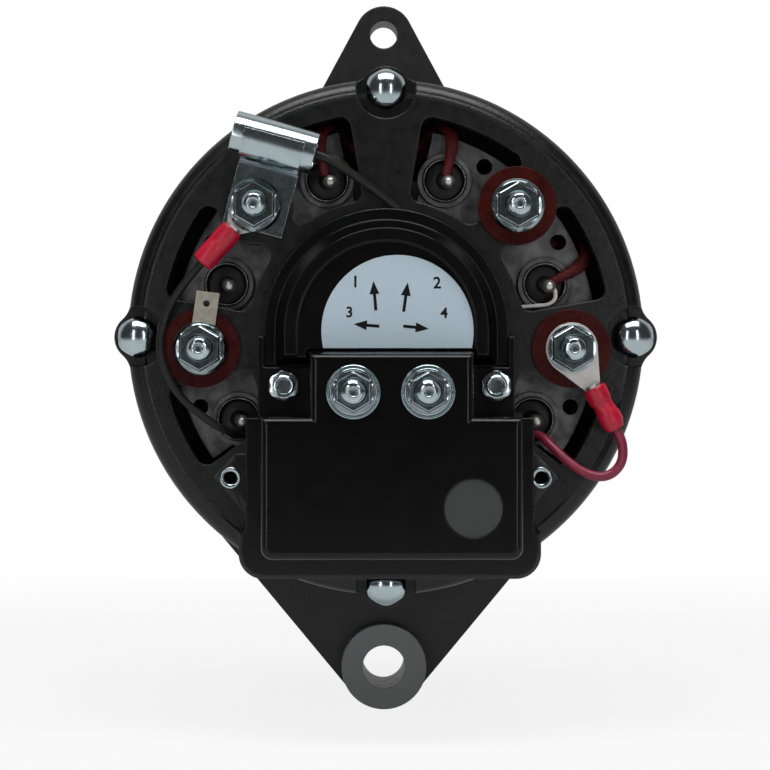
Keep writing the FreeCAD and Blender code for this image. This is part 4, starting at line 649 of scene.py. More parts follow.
@dataclass
class Studio:
    """Camera, lamps, floor with its backdrop, and world. Lengths are in metres."""

    camera_place: Point = (-0.0071, -0.8335, 0.08424)
    camera_turn: float = -0.52
    lens: float = 127.9
    sensor_width: float = 36.0
    lamp_target: Point = (0.0, -0.09, 0.10)
    lamps: tuple[Lamp, ...] = (
        Lamp("overhead", (0.0, -0.32, 0.72), (0.62, 0.34), 4.6),
        Lamp("left_strip", (-0.27, -0.68, 0.16), (0.05, 0.55), 0.6),
        Lamp("right_strip", (0.25, -0.70, 0.16), (0.05, 0.55), 0.6))
    floor_level: float = -0.0127
    floor_front: float = -3.0
    floor_half_width: float = 4.4
    backdrop_depth: float = 3.0
    backdrop_height: float = 3.8
    backdrop_bend: float = 0.8
    paper_colours: tuple[Colour, Colour] = ((0.80, 0.80, 0.80), (0.84, 0.84, 0.84))
    paper_patch: float = 90.0
    near_glow: float = 0.86
    glow_range: Place = (0.2, 0.6)
    mirrored_paper: Place = (0.08, 0.45)
    mirrored_paper_range: Place = (-0.5, -0.2)
    dim_level: float = 0.04
    mirrored_level: float = 0.056
    mirrored_white: float = 0.8
    mirrored_white_range: Place = (-0.1, 0.5)

    def camera(self) -> None:
        """Stand the camera level, looking a little to the right of the rotor's axis."""
        data = bpy.data.cameras.new("camera")
        data.lens = self.lens
        data.sensor_width = self.sensor_width
        data.clip_start = 0.01
        item = placed("camera", data)
        item.location = self.camera_place
        item.rotation_euler = (math.pi / 2, 0, math.radians(self.camera_turn))
        bpy.context.scene.camera = item

    def light(self, lamp: Lamp) -> None:
        """Stand one lamp so that it faces the middle of the object.

        Args:
            lamp: the lamp's facts.
        """
        data = bpy.data.lights.new(lamp.name, "AREA")
        data.shape = "RECTANGLE"
        data.size, data.size_y = lamp.size
        data.energy = lamp.power
        item = placed(lamp.name, data)
        item.location = lamp.place
        towards = Vector(self.lamp_target) - Vector(lamp.place)
        item.rotation_euler = towards.to_track_quat("-Z", "Y").to_euler()

    def paper(self) -> bpy.types.Material:
        """Make pale paper that is brighter where the camera sees it directly.

        The share of glow is 1 for the camera's rays, less near the object, where the paper keeps the shadow.
        Mirrored rays see a part of it, which grows towards the back.

        Returns:
            The material.
        """
        material = bpy.data.materials.new("studio_paper")
        tree = Tree(material)
        colour = tree.mixed(tree.noise(self.paper_patch), *self.paper_colours)
        paper = tree.add("BsdfDiffuse", {"Color": colour})
        glow = tree.add("Emission", {"Color": WHITE, "Strength": 1.0})
        camera, mirrored = tree.rays()
        depth = tree.add("SeparateXYZ", {0: tree.place}).outputs["Y"]
        nearby = tree.spread(depth, *self.mirrored_paper, *self.mirrored_paper_range)
        ray = tree.math("MAXIMUM", camera, tree.math("MULTIPLY", mirrored, nearby))
        far = tree.add("VectorMath", {0: tree.place}, operation="LENGTH").outputs["Value"]
        share = tree.math("MULTIPLY", ray, tree.spread(far, self.near_glow, 1.0, *self.glow_range))
        both = tree.add("MixShader", {0: share, 1: paper.outputs[0], 2: glow.outputs[0]})
        tree.add("OutputMaterial", {"Surface": both.outputs[0]})
        return material

    def stage(self) -> None:
        """Lay the floor, which bends up at the back into the backdrop: a quarter circle between two planes."""
        t = np.linspace(0, math.pi / 2, 9)
        bend, back = self.backdrop_bend, self.backdrop_depth
        depth = np.concatenate([[self.floor_front], back - bend + bend * np.sin(t), [back]])
        level = np.concatenate([[0.0], bend - bend * np.cos(t), [self.backdrop_height]]) + self.floor_level
        across = np.linspace(-self.floor_half_width, self.floor_half_width, 5)
        grid = np.stack(np.broadcast_arrays(across[None, :], depth[:, None], level[:, None]), -1)
        mesh = bpy.data.meshes.new("floor")
        mesh.from_pydata(grid.reshape(-1, 3).tolist(), [], grid_quads(*grid.shape[:2]).tolist())
        mesh.shade_smooth()
        mesh.materials.append(self.paper())
        placed("floor", mesh)

    def world(self) -> None:
        """White where the camera looks and, for metal and glass, behind the object; dim grey elsewhere."""
        world = bpy.data.worlds.new("studio")
        bpy.context.scene.world = world
        tree = Tree(world)
        towards = tree.add("SeparateXYZ", {0: tree.coordinates["Generated"]}).outputs["Y"]
        behind = tree.spread(towards, 0, self.mirrored_white, *self.mirrored_white_range)
        camera, mirrored = tree.rays()
        shown = tree.math("MAXIMUM", camera, tree.math("MULTIPLY", mirrored, behind))
        dim = tree.spread(mirrored, self.dim_level, self.mirrored_level, 0, 1)
        background = tree.add("Background", {"Color": WHITE, "Strength": tree.spread(shown, dim, 1, 0, 1)})
        tree.add("OutputWorld", {"Surface": background.outputs[0]})

    def build(self) -> None:
        """Make the camera, the lamps, the stage and the world, and set the view transform."""
        self.camera()
        for lamp in self.lamps:
            self.light(lamp)
        self.stage()
        self.world()
        bpy.context.scene.view_settings.view_transform = "Standard"


@dataclass
class SubAssembly:
    """A group of pieces; each kind keeps its own finishes for the solids that stay."""

    def finishes(self) -> dict[str, Finishes]:
        """Return the finish of each CAD node that stays."""
        return {}

    def pieces(self) -> None:
        """Make the new pieces; a group without any makes none."""

    def build(self) -> None:
        """Dress the solids that stay, then make the new pieces."""
        for node, finish in self.finishes().items():
            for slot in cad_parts[node].material_slots:
                slot.material = finish.value.material()
            log.info("%s dressed in %s", node, finish.value.name)
        self.pieces()


@dataclass(frozen=True)
class Lead:
    """One lead: the CAD node that it replaces, its route, thickness, real length and finish."""

    node: str
    radius: float
    length: float
    finish: Finishes
    route: tuple[Point, ...]


@dataclass
class Leads(SubAssembly):
    """The black lead, the red lead and the capacitor's lead, each one smooth curve along its route."""

    leads: tuple[Lead, ...] = (
        Lead("left_lead", 1.1, 103.3, Finishes.BLACK_CABLE, (
            (-48.2, 22.5, 103.5), (-51.1, 19.2, 103.5), (-55.2, 14.6, 103.2), (-60.0, 7.2, 103.1),
            (-62.2, -1.2, 103.1), (-60.6, -9.8, 103.0), (-55.6, -17.4, 102.9), (-48.6, -22.9, 102.4),
            (-43.6, -25.9, 99.8), (-41.2, -26.0, 95.0), (-36.0, -27.6, 91.9), (-27.0, -31.8, 91.6),
            (-16.5, -33.4, 91.5), (-5.53, -33.6, 91.5))),
        Lead("right_lead", 1.35, 82.0, Finishes.RED_CABLE, (
            (61.1, -22.2, 104.2), (63.2, -26.0, 104.2), (64.6, -29.4, 104.6), (64.4, -34.6, 104.9),
            (60.6, -38.3, 105.0), (55.2, -37.9, 104.6), (49.6, -34.2, 103.4), (45.2, -29.6, 100.7),
            (42.6, -26.9, 96.6), (38.4, -26.9, 92.3), (30.4, -30.6, 91.8), (18.0, -33.2, 91.5),
            (5.53, -33.6, 91.5))),
        Lead("capacitor_lead", 1.2, 40.9, Finishes.BLACK_CABLE, (
            (-20.2, 49.8, 106.8), (-16.9, 48.9, 106.8), (-12.2, 46.3, 106.0), (-5.0, 41.4, 104.0),
            (1.4, 36.4, 102.1), (7.0, 31.4, 101.6), (9.4, 24.4, 101.6))))

    def lay(self, lead: Lead) -> None:
        """Args:
            lead: the lead; its piece has the node's name with _cord.
        """
        name = lead.node + "_cord"
        curve = bpy.data.curves.new(name, "CURVE")
        curve.dimensions = "3D"
        curve.resolution_u = 10
        curve.bevel_depth = lead.radius * MILLIMETRE
        curve.bevel_resolution = 5
        curve.use_fill_caps = True
        spline = curve.splines.new("NURBS")
        points = stood_up(np.array(lead.route))
        spline.points.add(len(points) - 1)
        spline.points.foreach_set("co", np.concatenate([points, np.ones((len(points), 1))], axis=1).ravel())
        spline.order_u = 3
        spline.use_endpoint_u = True
        piece = placed(name, curve)
        settle(piece, lead.finish, FRAME_BODY, (lead.node,))

    def pieces(self) -> None:
        """Make the three leads."""
        for lead in self.leads:
            self.lay(lead)


@dataclass
class Castings(SubAssembly):
    """Both end housings and what is pressed into them.

    The rivet's profile and the land's rim are rows of radius and height above the seat, the rim's counted
    inwards and down from the land's top edge.
    """

    rivets: Rows = ((-42.6, -38.6), (42.6, -38.6))
    rivet_seat: float = 100.0
    rivet_profile: Rows = (
        (2.05, -5.0), (2.4, -5.0), (2.4, 0.0), (3.0, 0.0), (3.1, 0.3), (2.75, 0.75), (2.1, 0.72), (1.7, 0.42),
        (1.72, 0.0), (2.05, -0.6), (2.05, -5.0))
    rivet_rounding: float = 0.22
    land_height: float = 0.42
    land_depth: float = 0.1
    land_hole: float = 2.5
    land_edges: Rows = ((138.2, 3.86), (221.8, 3.59), (0.0, 7.6), (270.0, 12.2), (90.0, 6.7))
    land_power: int = 20
    land_rim: Rows = ((0.3, 0.0), (0.08, 0.06), (0.0, 0.22))

    def finishes(self) -> dict[str, Finishes]:
        """Black satin paint on the castings, steel on the bearings.

        Returns:
            The finish of each node.
        """
        rings = [f"{end}_bearing_{ring}_ring" for end in ("front", "rear") for ring in ("outer", "inner")]
        return {"rear_housing": Finishes.REAR_CASTING, "front_housing": Finishes.FRONT_CASTING,
                **dict.fromkeys(rings, Finishes.GROUND),
                "bearing_retainer": Finishes.ZINC, "retainer_screws": Finishes.ZINC}

    def lands(self) -> None:
        """Raise a low cornered land round each rivet.

        Its edge lies at (sum of (max(cos(a - edge's bearing), 0) / edge's distance)^p)^(-1/p) from the rivet
        at each angle a, with p the land's power: a polygon with rounded corners.
        """
        lands = Shape()
        angles = turn_angles(96)
        bearing, distance = np.array(self.land_edges).T[..., None]
        facing = np.maximum(np.cos(angles - np.radians(bearing)), 0) / distance
        edge = (facing ** self.land_power).sum(0, keepdims=True) ** (-1 / self.land_power)
        hole = np.full_like(edge, self.land_hole)
        radii = np.concatenate([hole, hole, *(edge - inset for inset, _ in self.land_rim), edge])
        top, foot = self.land_height, -self.land_depth
        heights = np.array([foot, top, *(top - drop for _, drop in self.land_rim), foot])[:, None]
        for x, y in self.rivets:
            ring = Line((-abs(x), y, self.rivet_seat)).around(radii, angles, heights)
            lands.add(ring * (math.copysign(1, -x), 1, 1), looped=True)
        lands.build("rivet_lands", Finishes.REAR_CASTING)

    def pieces(self) -> None:
        """Make the lands and flare the rivets: a tube whose end is rolled outwards onto the casting."""
        self.lands()
        rivets = Shape()
        for place in self.rivets:
            rivets.turned(Line((*place, self.rivet_seat)), rounded(self.rivet_profile, self.rivet_rounding), 40)
        rivets.build("flared_rivets", Finishes.ZINC, ("tubular_rivets",))


@dataclass(frozen=True)
class FlangeNut:
    """A hexagon nut with a round flange; heights are counted from its seat.

    The rim's rows are distance in from the flange's edge and height. The top edge's are distance in from the
    corner, loss of width across flats, and depth below the top. The mouth's are distance out from the bore and
    depth below the top.
    """

    across: float
    flange: float
    flange_height: float
    height: float
    bore: float
    rim: Rows = ((0.12, 0.0), (0.0, 0.12), (0.0, 0.42), (0.25, 0.72))
    root_reach: float = 0.15
    root_drop: float = 0.1
    top_edge: tuple[Point, ...] = ((0.1, 0.0, 0.6), (0.3, 0.45, 0.18), (0.55, 1.0, 0.0))
    mouth: Rows = ((0.9, 0.0), (0.35, 0.3), (0.0, 0.7))

    def grid(self, line: Line) -> np.ndarray:
        """Work out the nut's closed surface.

        Above the flange the hexagon draws in at its top edge, with its corners cut by a circle.

        Args:
            line: the nut's axis, from its seat.

        Returns:
            The grid of points.
        """
        corner, seat = self.across / math.sqrt(3), (self.bore, ROUND, 0.0)
        return line.hexed([
            seat, *((self.flange - inset, ROUND, rise) for inset, rise in self.rim),
            (corner + self.root_reach, ROUND, self.flange_height - self.root_drop),
            (corner, self.across, self.flange_height),
            *((corner - inset, self.across - loss, self.height - drop) for inset, loss, drop in self.top_edge),
            *((self.bore + reach, ROUND, self.height - drop) for reach, drop in self.mouth), seat])


@dataclass(frozen=True)
class StudEnd:
    """The threaded end of a stud; the tip's rows are radius and depth below its end, with a centre hole."""

    height: float
    tip: Rows = ((2.4, 0.22), (2.1, 0.2), (1.9, 0.1), (1.6, 0.0), (1.3, 0.02), (1.05, 0.25), (0.98, 0.6),
                 (0.98, 2.4), (0.0, 2.5))
    plain: float = 0.7
    thread_depth: float = 0.38 * STUD_PITCH
    chamfer: Place = (0.42 * STUD_PITCH, 0.5)
    rows_a_turn: int = 9
    sides: int = 40

    def grid(self, line: Line) -> np.ndarray:
        """Work out the end's surface: a thread, a chamfer and the tip.

        Args:
            line: the stud's axis, from where the thread starts.

        Returns:
            The grid of points.
        """
        length = self.height - self.plain
        heights = np.linspace(0, length, int(length / STUD_PITCH * self.rows_a_turn))[:, None]
        angles = turn_angles(self.sides)
        thread = threaded(STUD_RADIUS, self.thread_depth, STUD_PITCH, heights, angles)
        tip = np.array([(STUD_RADIUS - self.chamfer[0], self.chamfer[1]), *self.tip])
        radii = np.concatenate([thread, np.broadcast_to(tip[:, :1], (len(tip), self.sides))])
        return line.around(radii, angles, np.concatenate([heights, self.height - tip[:, 1:]]))


@dataclass
class FrameBolts(SubAssembly):
    """Four through-bolts whose domed heads still show the corners of a hexagon near the seat."""

    count: int = 4
    circle: float = 68.3
    seat: float = 95.0
    shank_radius: float = 2.4
    shank_length: float = 83.0
    shank_bevel: float = 0.5
    across: float = 10.7
    head_radius: float = 5.75
    head_height: float = 5.5
    head_bevel: float = 0.3
    skirt: float = 1.1

    def pieces(self) -> None:
        """Head and shank of each bolt in one closed surface.

        The head's radius is the smaller of the hexagon's and the dome's, radius (1 - t^2)^0.5 with t the
        share of the height above the skirt.
        """
        share = np.sin(np.linspace(0, 1, 14) * math.pi / 2)
        dome = np.stack([self.head_radius * np.sqrt(1 - share ** 2),
                         self.skirt + (self.head_height - self.skirt) * share], -1)
        end, radius = -self.shank_length, self.shank_radius
        profile = np.concatenate([
            [(0.0, end), (radius - self.shank_bevel, end), (radius, end + self.shank_bevel), (radius, 0.0),
             (self.head_radius - self.head_bevel, 0.0), (self.head_radius, self.head_bevel)], dome])
        bolts = Shape()
        for turn in range(self.count):
            bearing = turn * FULL_TURN / self.count
            line = Line((self.circle * math.cos(bearing), self.circle * math.sin(bearing), self.seat))
            bolts.add(line.hexed(np.insert(profile, 1, self.across, axis=1), 72))
        bolts.build("domed_bolts", Finishes.ZINC, ("through_bolts",))


@dataclass(frozen=True)
class Sleeve:
    """One crimp sleeve on the tongue of a ring terminal.

    It has a side, its stud's place, the station of the terminal's underside, the tongue's direction in
    degrees, the distance from the stud, the lead's radius, and rows of length share and radius.
    """

    side: str
    stud: Point
    seat: float
    turn: float
    start: float
    lead_radius: float
    swell: Rows


@dataclass
class Terminals(SubAssembly):
    """Output and auxiliary studs with their nuts, ring terminals, crimp sleeves and blade."""

    upper_right: Point = (36.0, 36.0, 101.6)
    upper_left: Point = (-36.0, 36.0, 101.7)
    side_right: Point = (50.8, -3.2, 102.4)
    side_left: Point = (-50.8, -3.2, 102.4)
    stud_back: float = 84.0
    thread_start: float = 100.0
    stud_end: StudEnd = StudEnd(12.6)
    root_radius: float = STUD_RADIUS - 0.1
    head_across: float = 10.0
    head_profile: Rows = ((0.0, -3.2), (4.8, -3.2), (5.6, -2.8), (5.6, 0.0), (0.0, 0.0))
    nut: FlangeNut = FlangeNut(11.1, 7.4, 1.3, 5.5, STUD_RADIUS - 0.3)
    narrow_flange: float = 6.5
    barrel_rise: float = 2.6
    barrel_radius: float = 2.03
    barrel_end: float = 0.75
    sleeve_length: float = 12.8
    sleeve_rounding: float = 0.06
    squeeze: float = 0.045
    dent_depth: float = 0.32
    dent_place: float = 0.42
    dent_length: float = 0.09
    dent_width: float = 0.25
    sleeves: tuple[Sleeve, ...] = (
        Sleeve("left", upper_left, 100.9, 228.0, 8.8, 1.1, (
            (0.0, 2.7), (0.03, 3.1), (0.3, 3.2), (0.5, 3.05), (0.78, 3.15), (0.96, 2.95), (1.0, 2.2))),
        Sleeve("right", side_right, 101.6, -61.5, 12.2, 1.35, (
            (0.0, 2.8), (0.03, 3.2), (0.3, 3.1), (0.38, 2.65), (0.52, 2.7), (0.66, 3.15), (0.84, 3.1),
            (1.0, 2.2))))

    def finishes(self) -> dict[str, Finishes]:
        """Tin on the terminals, red-brown on the insulating washers."""
        return {"insulating_washers": Finishes.WASHER, "left_ring_terminal": Finishes.TIN,
                "right_ring_terminal": Finishes.TIN, "blade_terminal": Finishes.YELLOWED}

    def studs_and_nuts(self) -> None:
        """Four threaded studs with hexagon heads behind the heat sinks, and their flange nuts."""
        studs, nuts = Shape(), Shape()
        head = np.insert(self.head_profile, 1, self.head_across, axis=1)
        length, root = self.thread_start - self.stud_back, self.root_radius
        shank = ((0.0, 0.0), (root, 0.0), (root, length), (0.0, length))
        for place in (self.upper_right, self.upper_left, self.side_right, self.side_left):
            back = Line((*place[:2], self.stud_back))
            studs.add(back.hexed(head, 60))
            studs.turned(back, shank, 32)
            studs.add(self.stud_end.grid(Line((*place[:2], self.thread_start))))
            narrow = place == self.side_right
            nut = replace(self.nut, flange=self.narrow_flange) if narrow else self.nut
            nuts.add(nut.grid(Line(place)))
        studs.build("threaded_studs", Finishes.ZINC, ("terminal_studs",), crease=50)
        nuts.build("flange_nuts", Finishes.NUTS, ("terminal_nuts",), crease=18)

    def sleeve(self, sleeve: Sleeve) -> None:
        """Make one crimp sleeve: a tube along the terminal's tongue whose radius follows the swell.

        The section is a circle squeezed to an ellipse, radius (1 + squeeze cos 2a), with a dent on top where
        the barrel was crimped.

        Args:
            sleeve: the sleeve's facts.
        """
        bearing = math.radians(sleeve.turn)
        along = (math.cos(bearing), math.sin(bearing), 0.0)
        origin = (sleeve.stud[0] + sleeve.start * along[0], sleeve.stud[1] + sleeve.start * along[1],
                  sleeve.seat + self.barrel_rise)
        rows = rounded(sleeve.swell, self.sleeve_rounding, 5)
        share, radius = rows[:, :1], rows[:, 1:]
        angles = turn_angles(48)
        dent = self.dent_depth * np.exp(-((share - self.dent_place) / self.dent_length) ** 2) * np.exp(
            -((np.cos(angles) - 1) / self.dent_width) ** 2)
        body = radius * (1 + self.squeeze * np.cos(2 * angles + math.pi)) - dent
        inner = np.array([(1.0, sleeve.lead_radius), (self.barrel_end, sleeve.lead_radius),
                          (self.barrel_end, self.barrel_radius), (0.0, self.barrel_radius)])
        radii = np.concatenate([body, np.broadcast_to(inner[:, 1:], (len(inner), angles.size))])
        heights = np.concatenate([share, inner[:, :1]]) * self.sleeve_length
        shape = Shape().add(Line(origin, along).around(radii, angles, heights), looped=True)
        shape.build(f"{sleeve.side}_vinyl_sleeve", Finishes.CRIMSON, (f"{sleeve.side}_crimp_sleeve",),
                    crease=40)

    def pieces(self) -> None:
        """Make the studs, the nuts and both sleeves."""
        self.studs_and_nuts()
        for sleeve in self.sleeves:
            self.sleeve(sleeve)


@dataclass
class Regulator(SubAssembly):
    """Regulator case on its base, with its plug, studs, washers, nuts and screws.

    The rolled rim's rows are distance in from the washer's edge and height; the screw's are radius and height.
    """

    studs: Rows = ((-8.9, -15.0), (10.9, -15.0))
    screws: Rows = ((-27.9, -13.4), (29.9, -13.4))
    case_face: float = 124.6
    base_face: float = 106.0
    washer_radius: float = 7.3
    washer_bore: float = 3.3
    washer_height: float = 1.1
    washer_rounding: float = 0.12
    rolled_rim: Rows = ((0.2, 0.0), (0.0, 0.3), (0.05, 0.9), (0.3, 1.1), (0.55, 0.8), (0.72, 0.5), (0.9, 0.8),
                        (1.15, 1.1))
    nut: FlangeNut = FlangeNut(9.6, 5.75, 1.2, 5.5, 2.9)
    stud_end: StudEnd = StudEnd(9.6)
    screw_across: float = 7.8
    screw_profile: Rows = (
        (0.0, -11.0), (2.1, -11.0), (2.1, 0.0), (4.3, 0.0), (4.3, 2.0), (4.1, 2.3), (3.7, 2.4), (2.95, 2.5),
        (2.95, 3.7), (2.85, 4.0), (2.55, 4.2), (2.2, 4.12), (1.95, 3.8), (1.85, 3.3), (1.85, 0.6), (0.0, 0.6))

    def finishes(self) -> dict[str, Finishes]:
        """Gloss black mouldings and a matt plug."""
        return {"regulator_base": Finishes.GLOSS, "regulator_case": Finishes.CASE,
                "regulator_plug": Finishes.POTTING, "brush_holder": Finishes.MOULDED}

    def terminals(self) -> None:
        """Studs, washers with a rolled rim and a groove, and nuts with a broad round flange."""
        washers, nuts, studs = Shape(), Shape(), Shape()
        bore, top = self.washer_bore, self.washer_height
        rim = [(self.washer_radius - inset, height) for inset, height in self.rolled_rim]
        rolled = rounded([(bore, 0.0), *rim, (bore, top), (bore, 0.0)], self.washer_rounding)
        for place in self.studs:
            face = Line((*place, self.case_face))
            washers.turned(face, rolled, 96)
            nuts.add(self.nut.grid(Line((*place, self.case_face + top))))
            studs.add(self.stud_end.grid(face))
        washers.build("rolled_washers", Finishes.ZINC, ("regulator_washers",))
        nuts.build("regulator_flange_nuts", Finishes.NUTS, ("regulator_nuts",), crease=18)
        studs.build("regulator_threads", Finishes.ZINC, ("regulator_studs",), crease=50)

    def pieces(self) -> None:
        """Make the terminals, and the screws with a hexagon, a round collar and a hollow end."""
        self.terminals()
        screws = Shape()
        for place in self.screws:
            rows = np.insert(self.screw_profile, 1, self.screw_across, axis=1)
            screws.add(Line((*place, self.base_face)).hexed(rows, 60))
        screws.build("hollow_screws", Finishes.ZINC, ("regulator_screws",), crease=24)


@dataclass
class Cover(SubAssembly):
    """Bearing cover with its half-moon plate, marked with plain numbers and arrows.

    A mark is its text, the place of its lower left corner and its height. An arrow is the place of its middle,
    its direction in degrees and its length.
    """

    plate_level: float = 110.72
    marks: tuple[tuple[str, float, float, float], ...] = (
        ("1", -9.5, 13.3, 4.4), ("2", 12.6, 13.0, 4.4), ("3", -11.0, 5.2, 4.0), ("4", 14.6, 5.0, 4.0))
    arrows: tuple[tuple[float, float, float, float], ...] = (
        (-3.2, 11.0, 95.0, 8.0), (5.2, 10.6, 82.0, 8.0), (-5.4, 3.0, 175.0, 7.0), (8.0, 2.4, -6.0, 7.0))
    mark_boldness: float = 0.09
    arrow_half_width: float = 0.42
    head_half_width: float = 1.35
    head_length: float = 3.6

    def finishes(self) -> dict[str, Finishes]:
        """Gloss black on the cover, pale blue-grey on the plate."""
        return {"bearing_cover": Finishes.GLOSS, "label_plate": Finishes.LABEL}

    def arrow(self, x: float, y: float, turn: float, length: float) -> tuple[np.ndarray, list[list[int]]]:
        """Outline one arrow: a narrow shaft and a long head, turned about its middle.

        Args:
            x: place of its middle.
            y: place of its middle.
            turn: direction in degrees.
            length: overall length.

        Returns:
            Its points on the plate, and its one face.
        """
        end, thin, wide = length / 2, self.arrow_half_width, self.head_half_width
        neck = end - self.head_length
        outline = np.array([(-end, -thin), (neck, -thin), (neck, -wide), (end, 0.0), (neck, wide), (neck, thin),
                            (-end, thin)])
        cosine, sine = math.cos(math.radians(turn)), math.sin(math.radians(turn))
        turned = outline @ np.array([(cosine, sine), (-sine, cosine)]) + (x, y)
        points = np.insert(turned, 2, self.plate_level, axis=1)
        return points, [list(range(len(points)))]

    def number(self, text: str, x: float, y: float, size: float) -> tuple[np.ndarray, list[list[int]]]:
        """Outline one number, taken from a text curve that is filled flat.

        Args:
            text: the number.
            x: place of its left edge.
            y: place of its foot.
            size: height of the type.

        Returns:
            Its points on the plate, and its faces.
        """
        curve = bpy.data.curves.new("number", "FONT")
        curve.body = text
        curve.size = size
        curve.resolution_u = 4
        curve.offset = self.mark_boldness
        item = bpy.data.objects.new("number", curve)
        mesh = bpy.data.meshes.new_from_object(item)
        places = np.zeros(len(mesh.vertices) * 3)
        mesh.vertices.foreach_get("co", places)
        faces = [list(face.vertices) for face in mesh.polygons]
        bpy.data.objects.remove(item)
        bpy.data.meshes.remove(mesh)
        return places.reshape(-1, 3) + (x, y, self.plate_level), faces

    def pieces(self) -> None:
        """Print the numbers and the arrows on the plate."""
        marks = Shape()
        for mark in self.marks:
            marks.take(*self.number(*mark))
        for arrow in self.arrows:
            marks.take(*self.arrow(*arrow))
        marks.build("plate_print", Finishes.INK)


@dataclass
class Capacitor(SubAssembly):
    """Suppression capacitor: a drawn can with a rolled end over its seal, in a pressed strap.

    The rows of the can and of the seal's rim are distance in from the can's radius and height, and the nose's
    are radius and height. The foot's heights are counted from the can's start, the others from its end.
    """

    centre: Point = (-30.4, 52.6, 106.8)
    tilt: float = -15.2
    length: float = 23.1
    radius: float = 5.88
    can_foot: Rows = ((0.9, 0.3), (0.7, 0.0), (0.0, 0.0))
    can_mouth: Rows = ((0.0, 0.0), (1.0, 0.0), (1.0, -1.2))
    can_rounding: float = 0.3
    seal_rim: Rows = ((1.05, -1.25), (1.05, -0.75))
    seal_nose: Rows = ((2.4, -0.45), (1.7, 0.2), (1.05, 0.3), (0.0, 0.3))
    seal_rounding: float = 0.25

    def finishes(self) -> dict[str, Finishes]:
        """Zinc plate on the strap."""
        return {"capacitor_bracket": Finishes.ZINC}

    def pieces(self) -> None:
        """Turn the can, whose mouth is rolled inwards, and the seal inside it."""
        bearing = math.radians(self.tilt)
        along = (math.cos(bearing), math.sin(bearing), 0.0)
        line = Line(tuple(middle - self.length / 2 * part for middle, part in zip(self.centre, along)), along)
        end, radius = self.length, self.radius
        foot = [(radius - inset, height) for inset, height in self.can_foot]
        mouth, rim = ([(radius - inset, end + height) for inset, height in rows]
                      for rows in (self.can_mouth, self.seal_rim))
        can = [(0.0, foot[0][1]), *foot, *mouth, (0.0, mouth[-1][1])]
        seal = [(0.0, rim[0][1]), *rim, *((reach, end + height) for reach, height in self.seal_nose)]
        Shape().turned(line, rounded(can, self.can_rounding), 72).build(
            "drawn_can", Finishes.ZINC, ("capacitor_can",))
        Shape().turned(line, rounded(seal, self.seal_rounding)).build(
            "domed_seal", Finishes.POTTING, ("capacitor_seal",))


@dataclass
class DiodeBridge(SubAssembly):
    """Heat sinks with six press-fit diodes, their glass seals, pins, solder and one bent bus strip.

    The diodes' profiles are rows of radius and height above the cup's bottom.
    """

    circle: float = 46.6
    bearings: tuple[float, ...] = (69.5, 18.5, -29.0)
    sink_face: float = 88.0
    cup_bottom: float = 80.8
    cup: Rows = (
        (0.0, 0.0), (5.6, 0.0), (6.2, 0.6), (6.2, 7.9), (7.2, 8.1), (7.2, 8.4), (6.2, 8.6), (6.15, 9.3),
        (5.95, 9.6), (5.6, 9.6), (5.45, 9.2), (5.4, 6.2), (0.0, 6.2))
    pin: Rows = (
        (0.0, 6.2), (0.9, 6.2), (0.9, 10.8), (1.35, 11.6), (1.9, 12.8), (1.8, 14.0), (1.1, 15.3), (0.5, 15.6),
        (0.0, 15.6))
    seal: Rows = (
        (0.9, 6.3), (5.35, 6.3), (5.2, 7.0), (2.4, 7.5), (1.6, 8.4), (0.9, 8.7), (0.9, 6.3))
    cup_rounding: float = 0.2
    pin_rounding: float = 0.5
    seal_rounding: float = 0.3
    pin_lean: Point = (0.07, -0.05, 1.0)
    strip_path: Rows = ((44.9, 14.6), (46.9, 13.4), (47.0, 10.6), (45.0, 9.0), (37.4, 8.4))
    strip_bend: float = 1.6
    strip_rounding: float = 0.2
    strip_levels: Place = (90.7, 94.3)
    strip_thickness: float = 1.1
    foot_reach: Place = (38.8, 39.6)

    def finishes(self) -> dict[str, Finishes]:
        """Dull plate on both heat sinks."""
        return {"left_heat_sink": Finishes.ALUMINIUM, "right_heat_sink": Finishes.ALUMINIUM}

    def bus_strip(self) -> None:
        """Bend the bus strip: a thin band on edge, from the upper side diode's pin down to its foot.

        The section is the band's width along z by its thickness, carried square to the path. Beyond the
        diode's collar its low edge drops to the heat sink.
        """
        path = rounded(self.strip_path, self.strip_bend, 7)
        run = np.gradient(path, axis=0)
        aside = np.stack([-run[:, 1], run[:, 0]], -1) / np.linalg.norm(run, axis=1, keepdims=True)
        half = self.strip_thickness / 2
        low, high = self.strip_levels
        corners = ((-half, low), (-half, high), (half, high), (half, low), (-half, low))
        section = rounded(corners, self.strip_rounding)[:-1]
        flat = path[:, None] + section[None, :, :1] * aside[:, None]
        lowest = np.interp(path[:, 0], self.foot_reach, (self.sink_face, low))
        level = high - (high - section[None, :, 1:]) * ((high - lowest) / (high - low))[:, None, None]
        band = np.concatenate([flat, level], -1)
        ends = band[[0, -1]].mean(1, keepdims=True) + np.zeros_like(band[[0, -1]])
        Shape().add(np.concatenate([ends[:1], band, ends[1:]])).build("bus_strip", Finishes.TIN)

    def pieces(self) -> None:
        """Turn the diodes: a cup with a collar and a thin rim, a dark seal, a pin with a bead of solder."""
        cups, pins, seals = Shape(), Shape(), Shape()
        for side in (-1, 1):
            for bearing in self.bearings:
                turn = math.radians(bearing)
                across, up = side * self.circle * math.cos(turn), self.circle * math.sin(turn)
                line = Line((across, up, self.cup_bottom))
                cups.turned(line, rounded(self.cup, self.cup_rounding), 64)
                pins.turned(Line(line.origin, self.pin_lean), rounded(self.pin, self.pin_rounding), 28)
                seals.turned(line, rounded(self.seal, self.seal_rounding), 40)
        cups.build("diode_cups", Finishes.CUP, ("diodes",))
        pins.build("diode_pins", Finishes.TIN)
        seals.build("diode_seals", Finishes.MOULDED)
        self.bus_strip()


